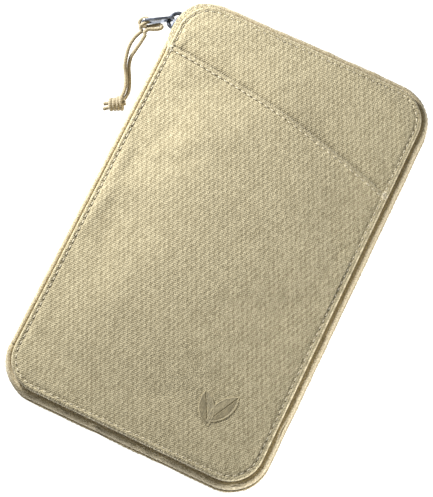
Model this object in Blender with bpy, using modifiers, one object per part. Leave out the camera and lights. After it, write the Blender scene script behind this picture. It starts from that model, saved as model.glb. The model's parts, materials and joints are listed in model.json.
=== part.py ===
"""Zip-round travel wallet, lying on its back.

X is the width, Y the height (pocket mouth towards +Y) and Z the thickness.
The origin is the centre of the back panel's flat underside.
All named sizes are in millimetres; meshes are written in metres.
"""
import bpy
import bmesh
from math import cos, sin, radians, degrees
from mathutils import Vector, Matrix

MM = 0.001

# ---------------------------------------------------------------- overall sizes
PANEL_WIDTH = 125.0          # between the turned side edges
PANEL_HEIGHT = 203.4         # between the turned top and bottom edges
PANEL_RADIUS = 16.0          # corner radius of the panels
THICKNESS = 20.0             # closed, empty
WALL_BULGE = 3.3             # how far the side wall stands out past the panels

# ---------------------------------------------------------------- layers
GAP = 0.3                    # between layers that touch
BACK_PANEL_THICK = 2.4
FRONT_PANEL_THICK = 1.4
POCKET_THICK = 0.7
BOARD_THICK = 0.6
FOIL_THICK = 0.25
LINING_THICK = 0.5
SLEEVE_THICK = 0.4
LINER_INSET = 3.0            # boards, foils and linings stop this far inside the panels
EDGE_ROUND = 0.5
LAYER_CORNER = 4.0

# ---------------------------------------------------------------- slip pocket
MOUTH_LEFT_DROP = 26.2       # from the top edge down to the mouth, at the left
MOUTH_RIGHT_DROP = 51.0      # the same at the right
MOUTH_BOW = 3.5              # how far the mouth bows up above a straight line
HEM_DEPTH = 5.0
TACK_LENGTH = 2.4
TACK_WIDTH = 1.2
TACK_THICK = 0.4
TACK_INSET = 2.0
TACK_CLEAR = 0.5
POCKET_EDGE = 0.3

# ---------------------------------------------------------------- side wall and zip
WALL_THICK = 0.7
WALL_EDGE_CLEAR = 0.6        # between the slider's sides and the fabric's edges
TAPE_TUCKED = 1.0            # tape that is sewn in behind the fabric
CHAIN_GAP = 1.2              # between the two coils
COIL_HEIGHT = 1.5
COIL_DEPTH = 1.2
TAPE_THICK = 0.5
TAPE_SHORT = 0.1             # the tape stops this short of its coil's edge
WALL_FOOT_INSET = 0.6        # the wall starts this far inside the panel's edge
ARC_STEPS = 6
SPINE_CLEAR = 0.7            # between the spine's ends and the corners
PARKED_CLEAR = 34.0          # degrees of the top left corner kept clear on the front half
STOP_SPAN = 1.6              # degrees of corner that a zip stop covers
STOP_CLEAR = 0.9             # degrees between a stop and its coil

# ---------------------------------------------------------------- main slider and tab
SLIDER_LENGTH = 10.0
SLIDER_HEIGHT = 5.6
SLIDER_PLATE = 1.6
SLIDER_INNER_PLATE = 0.8
SLIDER_WEB = 0.5
SLIDER_CLEAR = 0.3
BAR_CLEAR = 0.4              # between the tab's bar and the bail
PARK_MARGIN = 0.7            # degrees between the slider and the spine
BAIL_RADIUS = 0.6
BAIL_HEIGHT = 3.8            # crown centre above the slider's plate
BAIL_HALF_SPAN = 2.4
BAIL_BEND = 0.8
BAR_RADIUS = 0.5
TAB_ANGLE = 211.0            # direction of the tab, degrees from +X
TAB_LENGTH = 15.3
TAB_WIDTH = 5.0
TAB_THICK = 1.0
TAB_WINDOW = 4.6             # length of the window that goes round the bail
TAB_FRAME = 1.0
EYE_RADIUS = 1.35
EYE_MARGIN = 3.1             # eye centre to the tab's end

# ---------------------------------------------------------------- pull cord
CORD_RADIUS = 0.95
KNOT_RADIUS = 3.6
# Chosen by hand: (x, y) from the tab's pivot, and the height above the table.
STRAND_A = [
    (-11.2, -12.4, 10.2), (-12.9, -16.8, 9.9), (-13.5, -21.6, 8.7), (-12.8, -26.2, 7.2), (-11.6, -30.4, 5.4),
    (-9.7, -33.5, 4.0), (-8.0, -37.0, 3.2), (-6.9, -41.0, 3.1), (-6.6, -44.6, 3.7),
]
STRAND_B = [
    (-8.8, -13.1, 10.0), (-9.3, -17.5, 9.2), (-10.1, -21.7, 8.1), (-10.8, -25.5, 6.3), (-9.9, -29.7, 4.2),
    (-7.9, -33.4, 2.5), (-6.3, -36.8, 1.5), (-5.2, -40.6, 1.4), (-4.9, -44.0, 2.5),
]
KNOT_CENTRE = (-7.6, -49.2, 3.9)
CORD_STEPS = 24

# ---------------------------------------------------------------- inside pockets
PASSPORT_SIDE = 8.5          # from the panel's side edge to the sleeve
PASSPORT_HEIGHT = 128.0
PASSPORT_FOOT = 5.7          # from the panel's lower edge to the sleeve
CARD_WIDTH = 94.0
CARD_HEIGHT = 46.0
CARD_STEP = 11.0
CARD_COUNT = 4
CARD_FOOT = 7.7              # from the panel's lower edge to the card pockets
COIN_SIDE = 10.5             # from the panel's side edge to the coin pocket
COIN_FOOT = 7.7              # from the panel's lower edge to the coin pocket
COIN_ZIP_DROP = 39.7         # from the panel's top edge to the coin pocket's zip
COIN_TAPE_WIDTH = 5.0
COIN_FREE = 2.8              # tape that shows between the coil and the pocket
COIN_TAPE_THICK = 0.4
COIN_COIL_WIDTH = 1.2
COIN_COIL_HEIGHT = 1.1
COIN_CHAIN_GAP = 1.2
COIN_SLIDER_LENGTH = 8.0
COIN_SLIDER_WIDTH = 5.4
COIN_PLATE = 0.7
COIN_TAB_LENGTH = 9.0
COIN_TAB_WIDTH = 3.6
COIN_TAB_THICK = 0.8
COIN_BAIL_HALF = 1.7
COIN_BAR = 0.35
COIN_BAIL_BEND = 0.4
COIN_BAIL_FOOT = 0.3         # how far the bail starts inside the slider
COIN_WINDOW_EXTRA = 1.3      # window past the bail, along the tab
COIN_COIL_INSET = 2.0        # the coils stop this far inside the tapes' ends
COIN_PARK = 1.0              # between the parked slider and the coils' ends
COIN_WEB_CLEAR = 0.3
COIN_WEB_INSET = 1.5
COIN_WEB_TOP_CLEAR = 0.1     # between the slider's web and the lining
WINDOW_CLEAR = 0.35          # between a tab's window and its bail

# ---------------------------------------------------------------- worked out
HALF_W = PANEL_WIDTH / 2
HALF_H = PANEL_HEIGHT / 2
MID_Z = THICKNESS / 2
MOUTH_LEFT = HALF_H - MOUTH_LEFT_DROP
MOUTH_RIGHT = HALF_H - MOUTH_RIGHT_DROP
PASSPORT_WIDTH = PANEL_WIDTH - 2 * PASSPORT_SIDE
PASSPORT_BOTTOM = -HALF_H + PASSPORT_FOOT
CARD_BOTTOM = -HALF_H + CARD_FOOT
COIN_WIDTH = PANEL_WIDTH - 2 * COIN_SIDE
COIN_BOTTOM = -HALF_H + COIN_FOOT
COIN_TOP = HALF_H - COIN_ZIP_DROP
ARC_X = HALF_W - PANEL_RADIUS
ARC_Y = HALF_H - PANEL_RADIUS
COIL_TOP = MID_Z - CHAIN_GAP / 2
TAPE_OUTER = WALL_BULGE - WALL_THICK - GAP
TAPE_INNER = TAPE_OUTER - TAPE_THICK
COIL_OUTER = TAPE_INNER - GAP
COIL_INNER = COIL_OUTER - COIL_DEPTH
WALL_FOOT = BACK_PANEL_THICK + GAP
WALL_TOP = MID_Z - SLIDER_HEIGHT / 2 - WALL_EDGE_CLEAR
TAPE_START = WALL_TOP - TAPE_TUCKED
SPINE_TOP = MID_Z - GAP
FRONT_PANEL_BASE = THICKNESS - POCKET_THICK - GAP - FRONT_PANEL_THICK
LINER_W = PANEL_WIDTH - 2 * LINER_INSET
LINER_H = PANEL_HEIGHT - 2 * LINER_INSET
LINER_R = PANEL_RADIUS - LINER_INSET
SPINE_HALF = ARC_Y - SPINE_CLEAR
PLATE_OUT_IN = TAPE_OUTER + SLIDER_CLEAR
PLATE_OUT_OUT = PLATE_OUT_IN + SLIDER_PLATE
PLATE_IN_OUT = COIL_INNER - SLIDER_CLEAR
PLATE_IN_IN = PLATE_IN_OUT - SLIDER_INNER_PLATE
SLIDER_HALF_ANGLE = degrees(SLIDER_LENGTH / 2 / (PANEL_RADIUS + PLATE_OUT_OUT))
SLIDER_ANGLE = 180.0 - SLIDER_HALF_ANGLE - PARK_MARGIN
BAIL_OFFSET = PLATE_OUT_OUT + BAIL_HEIGHT
PIVOT_OFFSET = BAIL_OFFSET - BAIL_RADIUS - BAR_CLEAR - BAR_RADIUS

# wall profile of the back half: share of the way up, share of the bulge
WALL_SHAPE = [(0.15, 0.4), (0.44, 0.82), (0.69, 0.97), (1.0, 1.0)]
WALL_PROFILE = [(WALL_FOOT, -WALL_FOOT_INSET)] + [
    (WALL_FOOT + up * (WALL_TOP - WALL_FOOT), out * WALL_BULGE) for up, out in WALL_SHAPE]

COLOURS = {
    "cloth": ((0.56, 0.47, 0.31), 0.9, 0.0),
    "webbing": ((0.62, 0.54, 0.37), 0.9, 0.0),
    "lining": ((0.42, 0.37, 0.28), 0.85, 0.0),
    "board": ((0.12, 0.12, 0.12), 0.7, 0.0),
    "foil": ((0.62, 0.62, 0.60), 0.35, 0.9),
    "coil": ((0.40, 0.34, 0.23), 0.5, 0.0),
    "metal": ((0.42, 0.46, 0.54), 0.3, 1.0),
    "cord": ((0.30, 0.24, 0.14), 0.8, 0.0),
    "thread": ((0.50, 0.43, 0.28), 0.7, 0.0),
}


def clear_scene():
    for item in list(bpy.data.objects):
        bpy.data.objects.remove(item, do_unlink=True)


def collection(name):
    made = bpy.data.collections.new(name)
    bpy.context.scene.collection.children.link(made)
    return made


def material(name, kind):
    colour, rough, metal = COLOURS[kind]
    made = bpy.data.materials.new(name)
    made.use_nodes = True
    shader = made.node_tree.nodes["Principled BSDF"]
    shader.inputs["Base Color"].default_value = (*colour, 1.0)
    shader.inputs["Roughness"].default_value = rough
    shader.inputs["Metallic"].default_value = metal
    return made


def finish_mesh(name, bm, kind, smooth=True):
    """Turn a bmesh in millimetres into a named object in metres."""
    bmesh.ops.scale(bm, vec=(MM, MM, MM), verts=bm.verts)
    bmesh.ops.recalc_face_normals(bm, faces=bm.faces)
    mesh = bpy.data.meshes.new(name)
    bm.to_mesh(mesh)
    bm.free()
    if smooth:
        mesh.shade_smooth()
        mesh.set_sharp_from_angle(angle=radians(35))
    made = bpy.data.objects.new(name, mesh)
    made.data.materials.append(material(name, kind))
    PARTS.objects.link(made)
    return made


def add_bevel(made, width, segments=2, angle=50):
    mod = made.modifiers.new("Bevel", 'BEVEL')
    mod.width = width * MM
    mod.segments = segments
    mod.limit_method = 'ANGLE'
    mod.angle_limit = radians(angle)
    return mod


# ---------------------------------------------------------------- outlines
def arc(cx, cy, radius, start, end, steps):
    """Points on an arc, angles in degrees."""
    turn = [radians(start + (end - start) * i / steps) for i in range(steps + 1)]
    return [(cx + radius * cos(a), cy + radius * sin(a)) for a in turn]


def rounded(width, height, radius, cx=0.0, cy=0.0, steps=ARC_STEPS):
    ax = width / 2 - radius
    ay = height / 2 - radius
    points = []
    for sx, sy, start in ((1, -1, 270), (1, 1, 0), (-1, 1, 90), (-1, -1, 180)):
        points += arc(cx + sx * ax, cy + sy * ay, radius, start, start + 90, steps)
    return points


def mouth(x):
    """Height of the slip pocket's sagging, slanted mouth."""
    along = x / HALF_W
    level = MOUTH_LEFT + (MOUTH_RIGHT - MOUTH_LEFT) * (along + 1) / 2
    return level + MOUTH_BOW * (1 - along * along)


def wall_path(first=180.0, last=180.0):
    """The zip's way: round the bottom left corner, bottom, right, top and top left.

    Gives (x, y, normal angle). first is the corner angle where it starts at
    the bottom left and last the one where it ends at the top left.
    """
    corners = (
        (-ARC_X, -ARC_Y, first, 270.0),
        (ARC_X, -ARC_Y, 270.0, 360.0),
        (ARC_X, ARC_Y, 0.0, 90.0),
        (-ARC_X, ARC_Y, 90.0, last),
    )
    points = []
    for cx, cy, start, end in corners:
        steps = max(2, round(ARC_STEPS * abs(end - start) / 90))
        for i in range(steps + 1):
            a = start + (end - start) * i / steps
            points.append((cx + PANEL_RADIUS * cos(radians(a)), cy + PANEL_RADIUS * sin(radians(a)), a))
    return points


# ---------------------------------------------------------------- makers
def plate(name, points, base, thick, kind, edge=EDGE_ROUND):
    """A flat layer: an outline face with a thickness."""
    bm = bmesh.new()
    verts = [bm.verts.new((x, y, base)) for x, y in points]
    bm.faces.new(verts)
    bmesh.ops.remove_doubles(bm, verts=bm.verts, dist=1e-4)
    made = finish_mesh(name, bm, kind)
    if made.data.polygons[0].normal.z < 0:
        made.data.flip_normals()
    solid = made.modifiers.new("Solidify", 'SOLIDIFY')
    solid.thickness = thick * MM
    solid.offset = 1.0
    if edge:
        add_bevel(made, min(edge, thick * 0.45), segments=1)
    return made


def wall(name, path, profile, thick, kind, flip=False):
    """An upright strip that follows a path; its thickness goes inwards."""
    bm = bmesh.new()
    rows = []
    for x, y, a in path:
        out = (cos(radians(a)), sin(radians(a)))
        row = []
        for height, offset in profile:
            z = THICKNESS - height if flip else height
            row.append(bm.verts.new((x + out[0] * offset, y + out[1] * offset, z)))
        rows.append(row)
    for one, two in zip(rows, rows[1:]):
        for j in range(len(profile) - 1):
            corners = (one[j], two[j], two[j + 1], one[j + 1])
            bm.faces.new(corners[::-1] if flip else corners)
    bmesh.ops.scale(bm, vec=(MM, MM, MM), verts=bm.verts)
    mesh = bpy.data.meshes.new(name)
    bm.to_mesh(mesh)
    bm.free()
    mesh.shade_smooth()
    mesh.set_sharp_from_angle(angle=radians(35))
    made = bpy.data.objects.new(name, mesh)
    made.data.materials.append(material(name, kind))
    PARTS.objects.link(made)
    solid = made.modifiers.new("Solidify", 'SOLIDIFY')
    solid.thickness = thick * MM
    solid.offset = -1.0
    solid.use_even_offset = True
    return made


def arc_sweep(name, section, start, end, kind, steps=8):
    """A section of (offset, height) points swept round the top left corner."""
    bm = bmesh.new()
    rings = []
    for i in range(steps + 1):
        a = radians(start + (end - start) * i / steps)
        ring = []
        for offset, z in section:
            r = PANEL_RADIUS + offset
            ring.append(bm.verts.new((-ARC_X + r * cos(a), ARC_Y + r * sin(a), z)))
        rings.append(ring)
    for one, two in zip(rings, rings[1:]):
        for j in range(len(section)):
            k = (j + 1) % len(section)
            bm.faces.new((one[j], one[k], two[k], two[j]))
    bm.faces.new(rings[0][::-1])
    bm.faces.new(rings[-1])
    return finish_mesh(name, bm, kind)


def tube(name, points, radius, kind, resolution=2, cyclic=False):
    """A round bar or cord along points in millimetres."""
    curve = bpy.data.curves.new(name, 'CURVE')
    curve.dimensions = '3D'
    spline = curve.splines.new('POLY')
    spline.points.add(len(points) - 1)
    for point, place in zip(spline.points, points):
        point.co = (*(c * MM for c in place), 1.0)
    spline.use_cyclic_u = cyclic
    curve.bevel_depth = radius * MM
    curve.bevel_resolution = resolution
    curve.use_fill_caps = not cyclic
    made = bpy.data.objects.new(name, curve)
    made.data.materials.append(material(name, kind))
    PARTS.objects.link(made)
    return made


def smooth_curve(route, count):
    """Points along a smooth curve through a route."""
    places = [Vector(p) for p in route]
    ends = [2 * places[0] - places[1]] + places + [2 * places[-1] - places[-2]]
    spans = len(places) - 1
    points = []
    for i in range(count + 1):
        s = min(i / count * spans, spans - 1e-9)
        k = int(s)
        t = s - k
        a, b, c, d = ends[k:k + 4]
        points.append(0.5 * (2 * b + (c - a) * t + (2 * a - 5 * b + 4 * c - d) * t * t
                             + (3 * b - a - 3 * c + d) * t ** 3))
    return points


def joined(name, first, second):
    """Union of two meshes through a Boolean; the second is used up as a hidden cutter."""
    mod = first.modifiers.new("Union", 'BOOLEAN')
    mod.operation = 'UNION'
    mod.object = second
    hide_as_cutter(second)
    first.name = name
    return first


def hide_as_cutter(item):
    item.hide_render = True
    item.display_type = 'WIRE'
    PARTS.objects.unlink(item)
    CUTTERS.objects.link(item)


def cut(made, cutter):
    mod = made.modifiers.new("Cut", 'BOOLEAN')
    mod.operation = 'DIFFERENCE'
    mod.object = cutter
    hide_as_cutter(cutter)


def block(name, low, high, kind):
    """A box between two corners in millimetres."""
    bm = bmesh.new()
    bmesh.ops.create_cube(bm, size=1.0)
    size = [h - l for l, h in zip(low, high)]
    centre = [(h + l) / 2 for l, h in zip(low, high)]
    bmesh.ops.scale(bm, vec=size, verts=bm.verts)
    bmesh.ops.translate(bm, vec=centre, verts=bm.verts)
    return finish_mesh(name, bm, kind, smooth=False)


# ---------------------------------------------------------------- back half
def make_back_half():
    level = 0.0
    plate("back_panel", rounded(PANEL_WIDTH, PANEL_HEIGHT, PANEL_RADIUS), level, BACK_PANEL_THICK, "cloth")
    level += BACK_PANEL_THICK + GAP
    liner = rounded(LINER_W, LINER_H, LINER_R)
    for name, thick, kind in (("back_board", BOARD_THICK, "board"),
                              ("rfid_foil_back", FOIL_THICK, "foil"),
                              ("back_lining", LINING_THICK, "lining")):
        plate(name, liner, level, thick, kind, edge=0)
        level += thick + GAP
    sleeve = rounded(PASSPORT_WIDTH, PASSPORT_HEIGHT, LAYER_CORNER, 0.0, PASSPORT_BOTTOM + PASSPORT_HEIGHT / 2)
    plate("passport_sleeve", sleeve, level, SLEEVE_THICK, "lining", edge=0)
    level += SLEEVE_THICK + GAP
    for i in range(CARD_COUNT):
        top_first = CARD_COUNT - 1 - i
        height = CARD_HEIGHT + CARD_STEP * top_first
        outline = rounded(CARD_WIDTH, height, LAYER_CORNER, 0.0, CARD_BOTTOM + height / 2)
        plate("card_pocket_%d" % (i + 1), outline, level, SLEEVE_THICK, "lining", edge=0)
        level += SLEEVE_THICK + GAP


def make_walls():
    """Fabric wall, zip tape and coil of each half, and the spine's two flaps."""
    tape = [(TAPE_START, TAPE_OUTER), (COIL_TOP - TAPE_SHORT, TAPE_OUTER)]
    coil = [(COIL_TOP - COIL_HEIGHT, COIL_OUTER), (COIL_TOP, COIL_OUTER)]
    spine = WALL_PROFILE[:-1] + [(SPINE_TOP, WALL_BULGE)]
    side = [(-HALF_W, SPINE_HALF * s, 180.0) for s in (1, 0, -1)]
    for half, flip, last in (("back", False, 180.0), ("front", True, 180.0 - PARKED_CLEAR)):
        path = wall_path(last=last)
        room = STOP_SPAN + STOP_CLEAR
        chain = wall_path(first=180.0 + room, last=min(last, 180.0 - room))
        wall("side_wall_" + half, path, WALL_PROFILE, WALL_THICK, "webbing", flip)
        wall("zip_tape_" + half, path, tape, TAPE_THICK, "coil", flip)
        wall("zip_coil_" + half, chain, coil, COIL_DEPTH, "coil", flip)
        wall("spine_" + half, side, spine, WALL_THICK, "webbing", flip)


def make_stops():
    """Small metal stops at the ends of the coils."""
    low, high = COIL_TOP - COIL_HEIGHT, COIL_TOP
    section = [(COIL_INNER, low), (COIL_OUTER, low), (COIL_OUTER, high), (COIL_INNER, high)]
    mirror = [(offset, THICKNESS - z) for offset, z in section[::-1]]
    arc_sweep("zip_stop_top", section, 180.0 - STOP_SPAN, 180.0, "metal", steps=2)
    for name, shape in (("zip_stop_back", section), ("zip_stop_front", mirror)):
        made = arc_sweep(name, shape, 180.0 - STOP_SPAN, 180.0, "metal", steps=2)
        made.data.transform(Matrix.Scale(-1, 4, (0, 1, 0)))
        made.data.flip_normals()


# ---------------------------------------------------------------- front half
def pocket_outline(upper, lower_edge):
    """Outline between a mouth-shaped top, dropped by upper, and the panel's lower edge."""
    steps = 12
    xs = [-HALF_W + PANEL_WIDTH * i / steps for i in range(steps + 1)]
    top = [(x, mouth(x) - upper) for x in reversed(xs)]
    if lower_edge is None:
        bottom = arc(-ARC_X, -ARC_Y, PANEL_RADIUS, 180, 270, ARC_STEPS)
        bottom += arc(ARC_X, -ARC_Y, PANEL_RADIUS, 270, 360, ARC_STEPS)
    else:
        bottom = [(x, mouth(x) - lower_edge) for x in xs]
    return top + bottom


def make_front_half():
    front = rounded(PANEL_WIDTH, PANEL_HEIGHT, PANEL_RADIUS)
    plate("front_panel", front, FRONT_PANEL_BASE, FRONT_PANEL_THICK, "cloth")
    pocket_base = FRONT_PANEL_BASE + FRONT_PANEL_THICK + GAP
    for name, outline in (("pocket_panel", pocket_outline(HEM_DEPTH + GAP, None)),
                          ("pocket_hem", pocket_outline(0.0, HEM_DEPTH))):
        plate(name, outline, pocket_base, POCKET_THICK, "cloth", edge=POCKET_EDGE)
    for name, side in (("bar_tack_left", -1), ("bar_tack_right", 1)):
        x = side * (HALF_W - TACK_INSET)
        foot = mouth(x) + TACK_CLEAR
        low = (x - TACK_WIDTH / 2, foot, pocket_base)
        high = (x + TACK_WIDTH / 2, foot + TACK_LENGTH, pocket_base + TACK_THICK)
        block(name, low, high, "thread")
    level = FRONT_PANEL_BASE - GAP
    liner = rounded(LINER_W, LINER_H, LINER_R)
    for name, thick, kind in (("front_board", BOARD_THICK, "board"),
                              ("rfid_foil_front", FOIL_THICK, "foil"),
                              ("front_lining", LINING_THICK, "lining")):
        level -= thick
        plate(name, liner, level, thick, kind, edge=0)
        level -= GAP
    return level


def make_coin_pocket(level):
    """A flat zipped pocket under the front lining; it faces the back half."""
    top = level - COIN_TAPE_THICK
    middle = COIN_TOP
    half_gap = COIN_CHAIN_GAP / 2
    height = COIN_TOP - half_gap - COIN_COIL_WIDTH - COIN_FREE - COIN_BOTTOM
    body = rounded(COIN_WIDTH, height, LAYER_CORNER, 0.0, COIN_BOTTOM + height / 2)
    plate("coin_pocket", body, top - GAP - SLEEVE_THICK, SLEEVE_THICK, "lining", edge=0)
    coil_top = top - GAP
    coil_low = coil_top - COIN_COIL_HEIGHT
    half = COIN_WIDTH / 2
    for name, side in (("lower", -1), ("upper", 1)):
        near = middle + side * half_gap
        far = middle + side * (half_gap + COIN_TAPE_WIDTH)
        block("coin_zip_tape_" + name, (-half, min(near, far), top), (half, max(near, far), level), "coil")
        edge = middle + side * (half_gap + COIN_COIL_WIDTH)
        reach = half - COIN_COIL_INSET
        block("coin_zip_coil_" + name, (-reach, min(near, edge), coil_low),
              (reach, max(near, edge), coil_top), "coil")
    make_coin_slider(middle, coil_low, level, -reach + COIN_SLIDER_LENGTH / 2 + COIN_PARK)


def make_coin_slider(middle, coil_low, level, x):
    """Slider, bail and tab of the inside zip; the tab lies flat, pointing to +X."""
    half_l = COIN_SLIDER_LENGTH / 2
    plate_top = coil_low - GAP
    plate_low = plate_top - COIN_PLATE
    lower = rounded(COIN_SLIDER_LENGTH, COIN_SLIDER_WIDTH, 1.8, x, middle, steps=3)
    body = plate("coin_slider", lower, plate_low, COIN_PLATE, "metal", edge=0)
    web_l = half_l - COIN_WEB_INSET
    web_w = COIN_CHAIN_GAP / 2 - COIN_WEB_CLEAR
    web = block("coin_slider_web", (x - web_l, middle - web_w, plate_top - COIN_PLATE / 3),
                (x + web_l, middle + web_w, level - COIN_WEB_TOP_CLEAR), "metal")
    joined("coin_slider", body, web)
    pivot = plate_low - GAP - COIN_BAR
    crown = pivot - 2 * COIN_BAR - GAP
    foot = plate_low - COIN_BAIL_FOOT
    turn = crown + COIN_BAIL_FOOT
    half = COIN_BAIL_HALF
    route = [(x - half, middle, foot), (x - half, middle, turn), (x - half + COIN_BAIL_BEND, middle, crown),
             (x + half - COIN_BAIL_BEND, middle, crown), (x + half, middle, turn), (x + half, middle, foot)]
    tube("coin_slider_bail", route, COIN_BAR, "metal")
    tab = tab_shape("coin_pull_tab", COIN_TAB_LENGTH, COIN_TAB_WIDTH, COIN_TAB_THICK,
                    COIN_BAIL_HALF + COIN_WINDOW_EXTRA, COIN_BAR, 0.0, COIN_BAR + WINDOW_CLEAR)
    # local X along the tab, local Z across it, local Y its thickness
    tab.data.transform(Matrix.Rotation(radians(-90), 4, 'X'))
    tab.data.transform(Matrix.Translation((x * MM, middle * MM, pivot * MM)))


def tab_shape(name, length, width, thick, window, bar, eye, frame_gap):
    """A zip tab along +X with its pivot bar on the origin, width along Z, thickness along Y."""
    outline = rounded(length + bar, width, min(width * 0.32, 1.6), (length - bar) / 2, 0.0, steps=3)
    made = plate(name, outline, -thick / 2, thick, "metal", edge=0)
    hole_half = frame_gap
    hole = block(name + "_window", (bar, -hole_half, -thick), (window, hole_half, thick), "metal")
    cut(made, hole)
    if eye:
        bm = bmesh.new()
        bmesh.ops.create_cone(bm, cap_ends=True, segments=16, radius1=eye, radius2=eye, depth=thick * 3)
        bmesh.ops.translate(bm, vec=(length - EYE_MARGIN, 0, 0), verts=bm.verts)
        cut(made, finish_mesh(name + "_eye", bm, "metal"))
    applied = bpy.data.meshes.new_from_object(
        made.evaluated_get(bpy.context.evaluated_depsgraph_get()))
    made.modifiers.clear()
    made.data = applied
    made.data.transform(Matrix.Rotation(radians(90), 4, 'X'))
    return made


# ---------------------------------------------------------------- main slider
def corner_point(offset, angle):
    r = PANEL_RADIUS + offset
    return Vector((-ARC_X + r * cos(radians(angle)), ARC_Y + r * sin(radians(angle)), MID_Z))


def make_slider():
    """Two curved plates joined by a web that passes between the coils."""
    top = MID_Z + SLIDER_HEIGHT / 2
    low = MID_Z - SLIDER_HEIGHT / 2
    web_top = MID_Z + SLIDER_WEB / 2
    web_low = MID_Z - SLIDER_WEB / 2
    section = [
        (PLATE_IN_IN, low), (PLATE_IN_OUT, low), (PLATE_IN_OUT, web_low), (PLATE_OUT_IN, web_low),
        (PLATE_OUT_IN, low), (PLATE_OUT_OUT, low), (PLATE_OUT_OUT, top), (PLATE_OUT_IN, top),
        (PLATE_OUT_IN, web_top), (PLATE_IN_OUT, web_top), (PLATE_IN_OUT, top), (PLATE_IN_IN, top),
    ]
    start = SLIDER_ANGLE - SLIDER_HALF_ANGLE
    end = SLIDER_ANGLE + SLIDER_HALF_ANGLE
    arc_sweep("slider_body", section, start, end, "metal")
    out = Vector((cos(radians(SLIDER_ANGLE)), sin(radians(SLIDER_ANGLE)), 0))
    along = Vector((-out.y, out.x, 0))
    foot = corner_point(PLATE_OUT_OUT + GAP, SLIDER_ANGLE)
    crown = corner_point(BAIL_OFFSET, SLIDER_ANGLE)
    half = BAIL_HALF_SPAN
    bend = BAIL_BEND
    route = [foot - along * half, crown - along * half - out * bend, crown - along * (half - bend),
             crown + along * (half - bend), crown + along * half - out * bend, foot + along * half]
    tube("slider_bail", route, BAIL_RADIUS, "metal")


def make_pull_tab():
    pivot = corner_point(PIVOT_OFFSET, SLIDER_ANGLE)
    tab = tab_shape("pull_tab", TAB_LENGTH, TAB_WIDTH, TAB_THICK, TAB_WINDOW, BAR_RADIUS, EYE_RADIUS,
                    BAIL_RADIUS + WINDOW_CLEAR)
    tab.data.transform(Matrix.Rotation(radians(TAB_ANGLE), 4, 'Z'))
    tab.data.transform(Matrix.Translation(pivot * MM))


def make_cord():
    """Two strands of one looped cord, tied in a knot."""
    pivot = corner_point(PIVOT_OFFSET, SLIDER_ANGLE)
    for name, route in (("cord_strand_a", STRAND_A), ("cord_strand_b", STRAND_B)):
        placed = [(pivot.x + x, pivot.y + y, z) for x, y, z in route]
        tube(name, smooth_curve(placed, CORD_STEPS), CORD_RADIUS, "cord")
    bm = bmesh.new()
    bmesh.ops.create_uvsphere(bm, u_segments=14, v_segments=10, radius=KNOT_RADIUS)
    x, y, z = KNOT_CENTRE
    bmesh.ops.translate(bm, vec=(pivot.x + x, pivot.y + y, z), verts=bm.verts)
    finish_mesh("cord_knot", bm, "cord")


clear_scene()
PARTS = collection("travel_wallet")
CUTTERS = collection("cutters")
make_back_half()
make_walls()
make_stops()
inner_level = make_front_half()
make_coin_pocket(inner_level)
make_slider()
make_pull_tab()
make_cord()
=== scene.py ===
"""Looks of the zip-round travel wallet: cloth, seams, zip, slider and pull cord.

Laid out as a Blender add-on and run as a script. Lengths are in metres.
"""

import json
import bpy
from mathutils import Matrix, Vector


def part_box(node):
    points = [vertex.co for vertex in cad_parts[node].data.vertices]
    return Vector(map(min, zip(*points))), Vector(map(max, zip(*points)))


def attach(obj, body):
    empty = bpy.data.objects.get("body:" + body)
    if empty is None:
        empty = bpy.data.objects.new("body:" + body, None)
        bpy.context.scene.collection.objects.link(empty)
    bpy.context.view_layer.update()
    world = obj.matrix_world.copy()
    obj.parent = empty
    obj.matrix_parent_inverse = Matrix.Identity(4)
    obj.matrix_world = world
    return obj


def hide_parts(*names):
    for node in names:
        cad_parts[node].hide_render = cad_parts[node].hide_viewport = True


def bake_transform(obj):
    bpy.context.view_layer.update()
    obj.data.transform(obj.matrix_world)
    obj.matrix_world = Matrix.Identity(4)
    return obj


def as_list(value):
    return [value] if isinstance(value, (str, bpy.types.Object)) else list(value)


bl_info = {
    "name": "Travel wallet",
    "version": (1, 0, 0),
    "blender": (4, 5, 0),
    "location": "View3D > Sidebar > Wallet",
    "description": "Sews the cloth, seams, zip and pull cord of a travel wallet round its frame",
    "category": "Add Mesh",
}

from math import atan2, cos, pi, radians, sin, sqrt

import bmesh
import bpy
import numpy as np
from bpy.props import FloatProperty, FloatVectorProperty, PointerProperty
from mathutils import Matrix, Vector, noise
from mathutils.bvhtree import BVHTree
from mathutils.geometry import delaunay_2d_cdt

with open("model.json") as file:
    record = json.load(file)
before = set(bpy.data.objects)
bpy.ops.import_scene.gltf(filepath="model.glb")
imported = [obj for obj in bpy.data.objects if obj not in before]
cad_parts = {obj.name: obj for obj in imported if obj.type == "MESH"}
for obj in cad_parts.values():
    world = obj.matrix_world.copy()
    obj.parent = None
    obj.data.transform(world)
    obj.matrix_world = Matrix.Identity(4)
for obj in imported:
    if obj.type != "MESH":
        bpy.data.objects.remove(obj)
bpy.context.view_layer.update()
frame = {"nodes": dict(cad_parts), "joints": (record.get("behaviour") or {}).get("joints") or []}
MM = 0.001
UV_NAME = "thread_lie"

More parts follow.
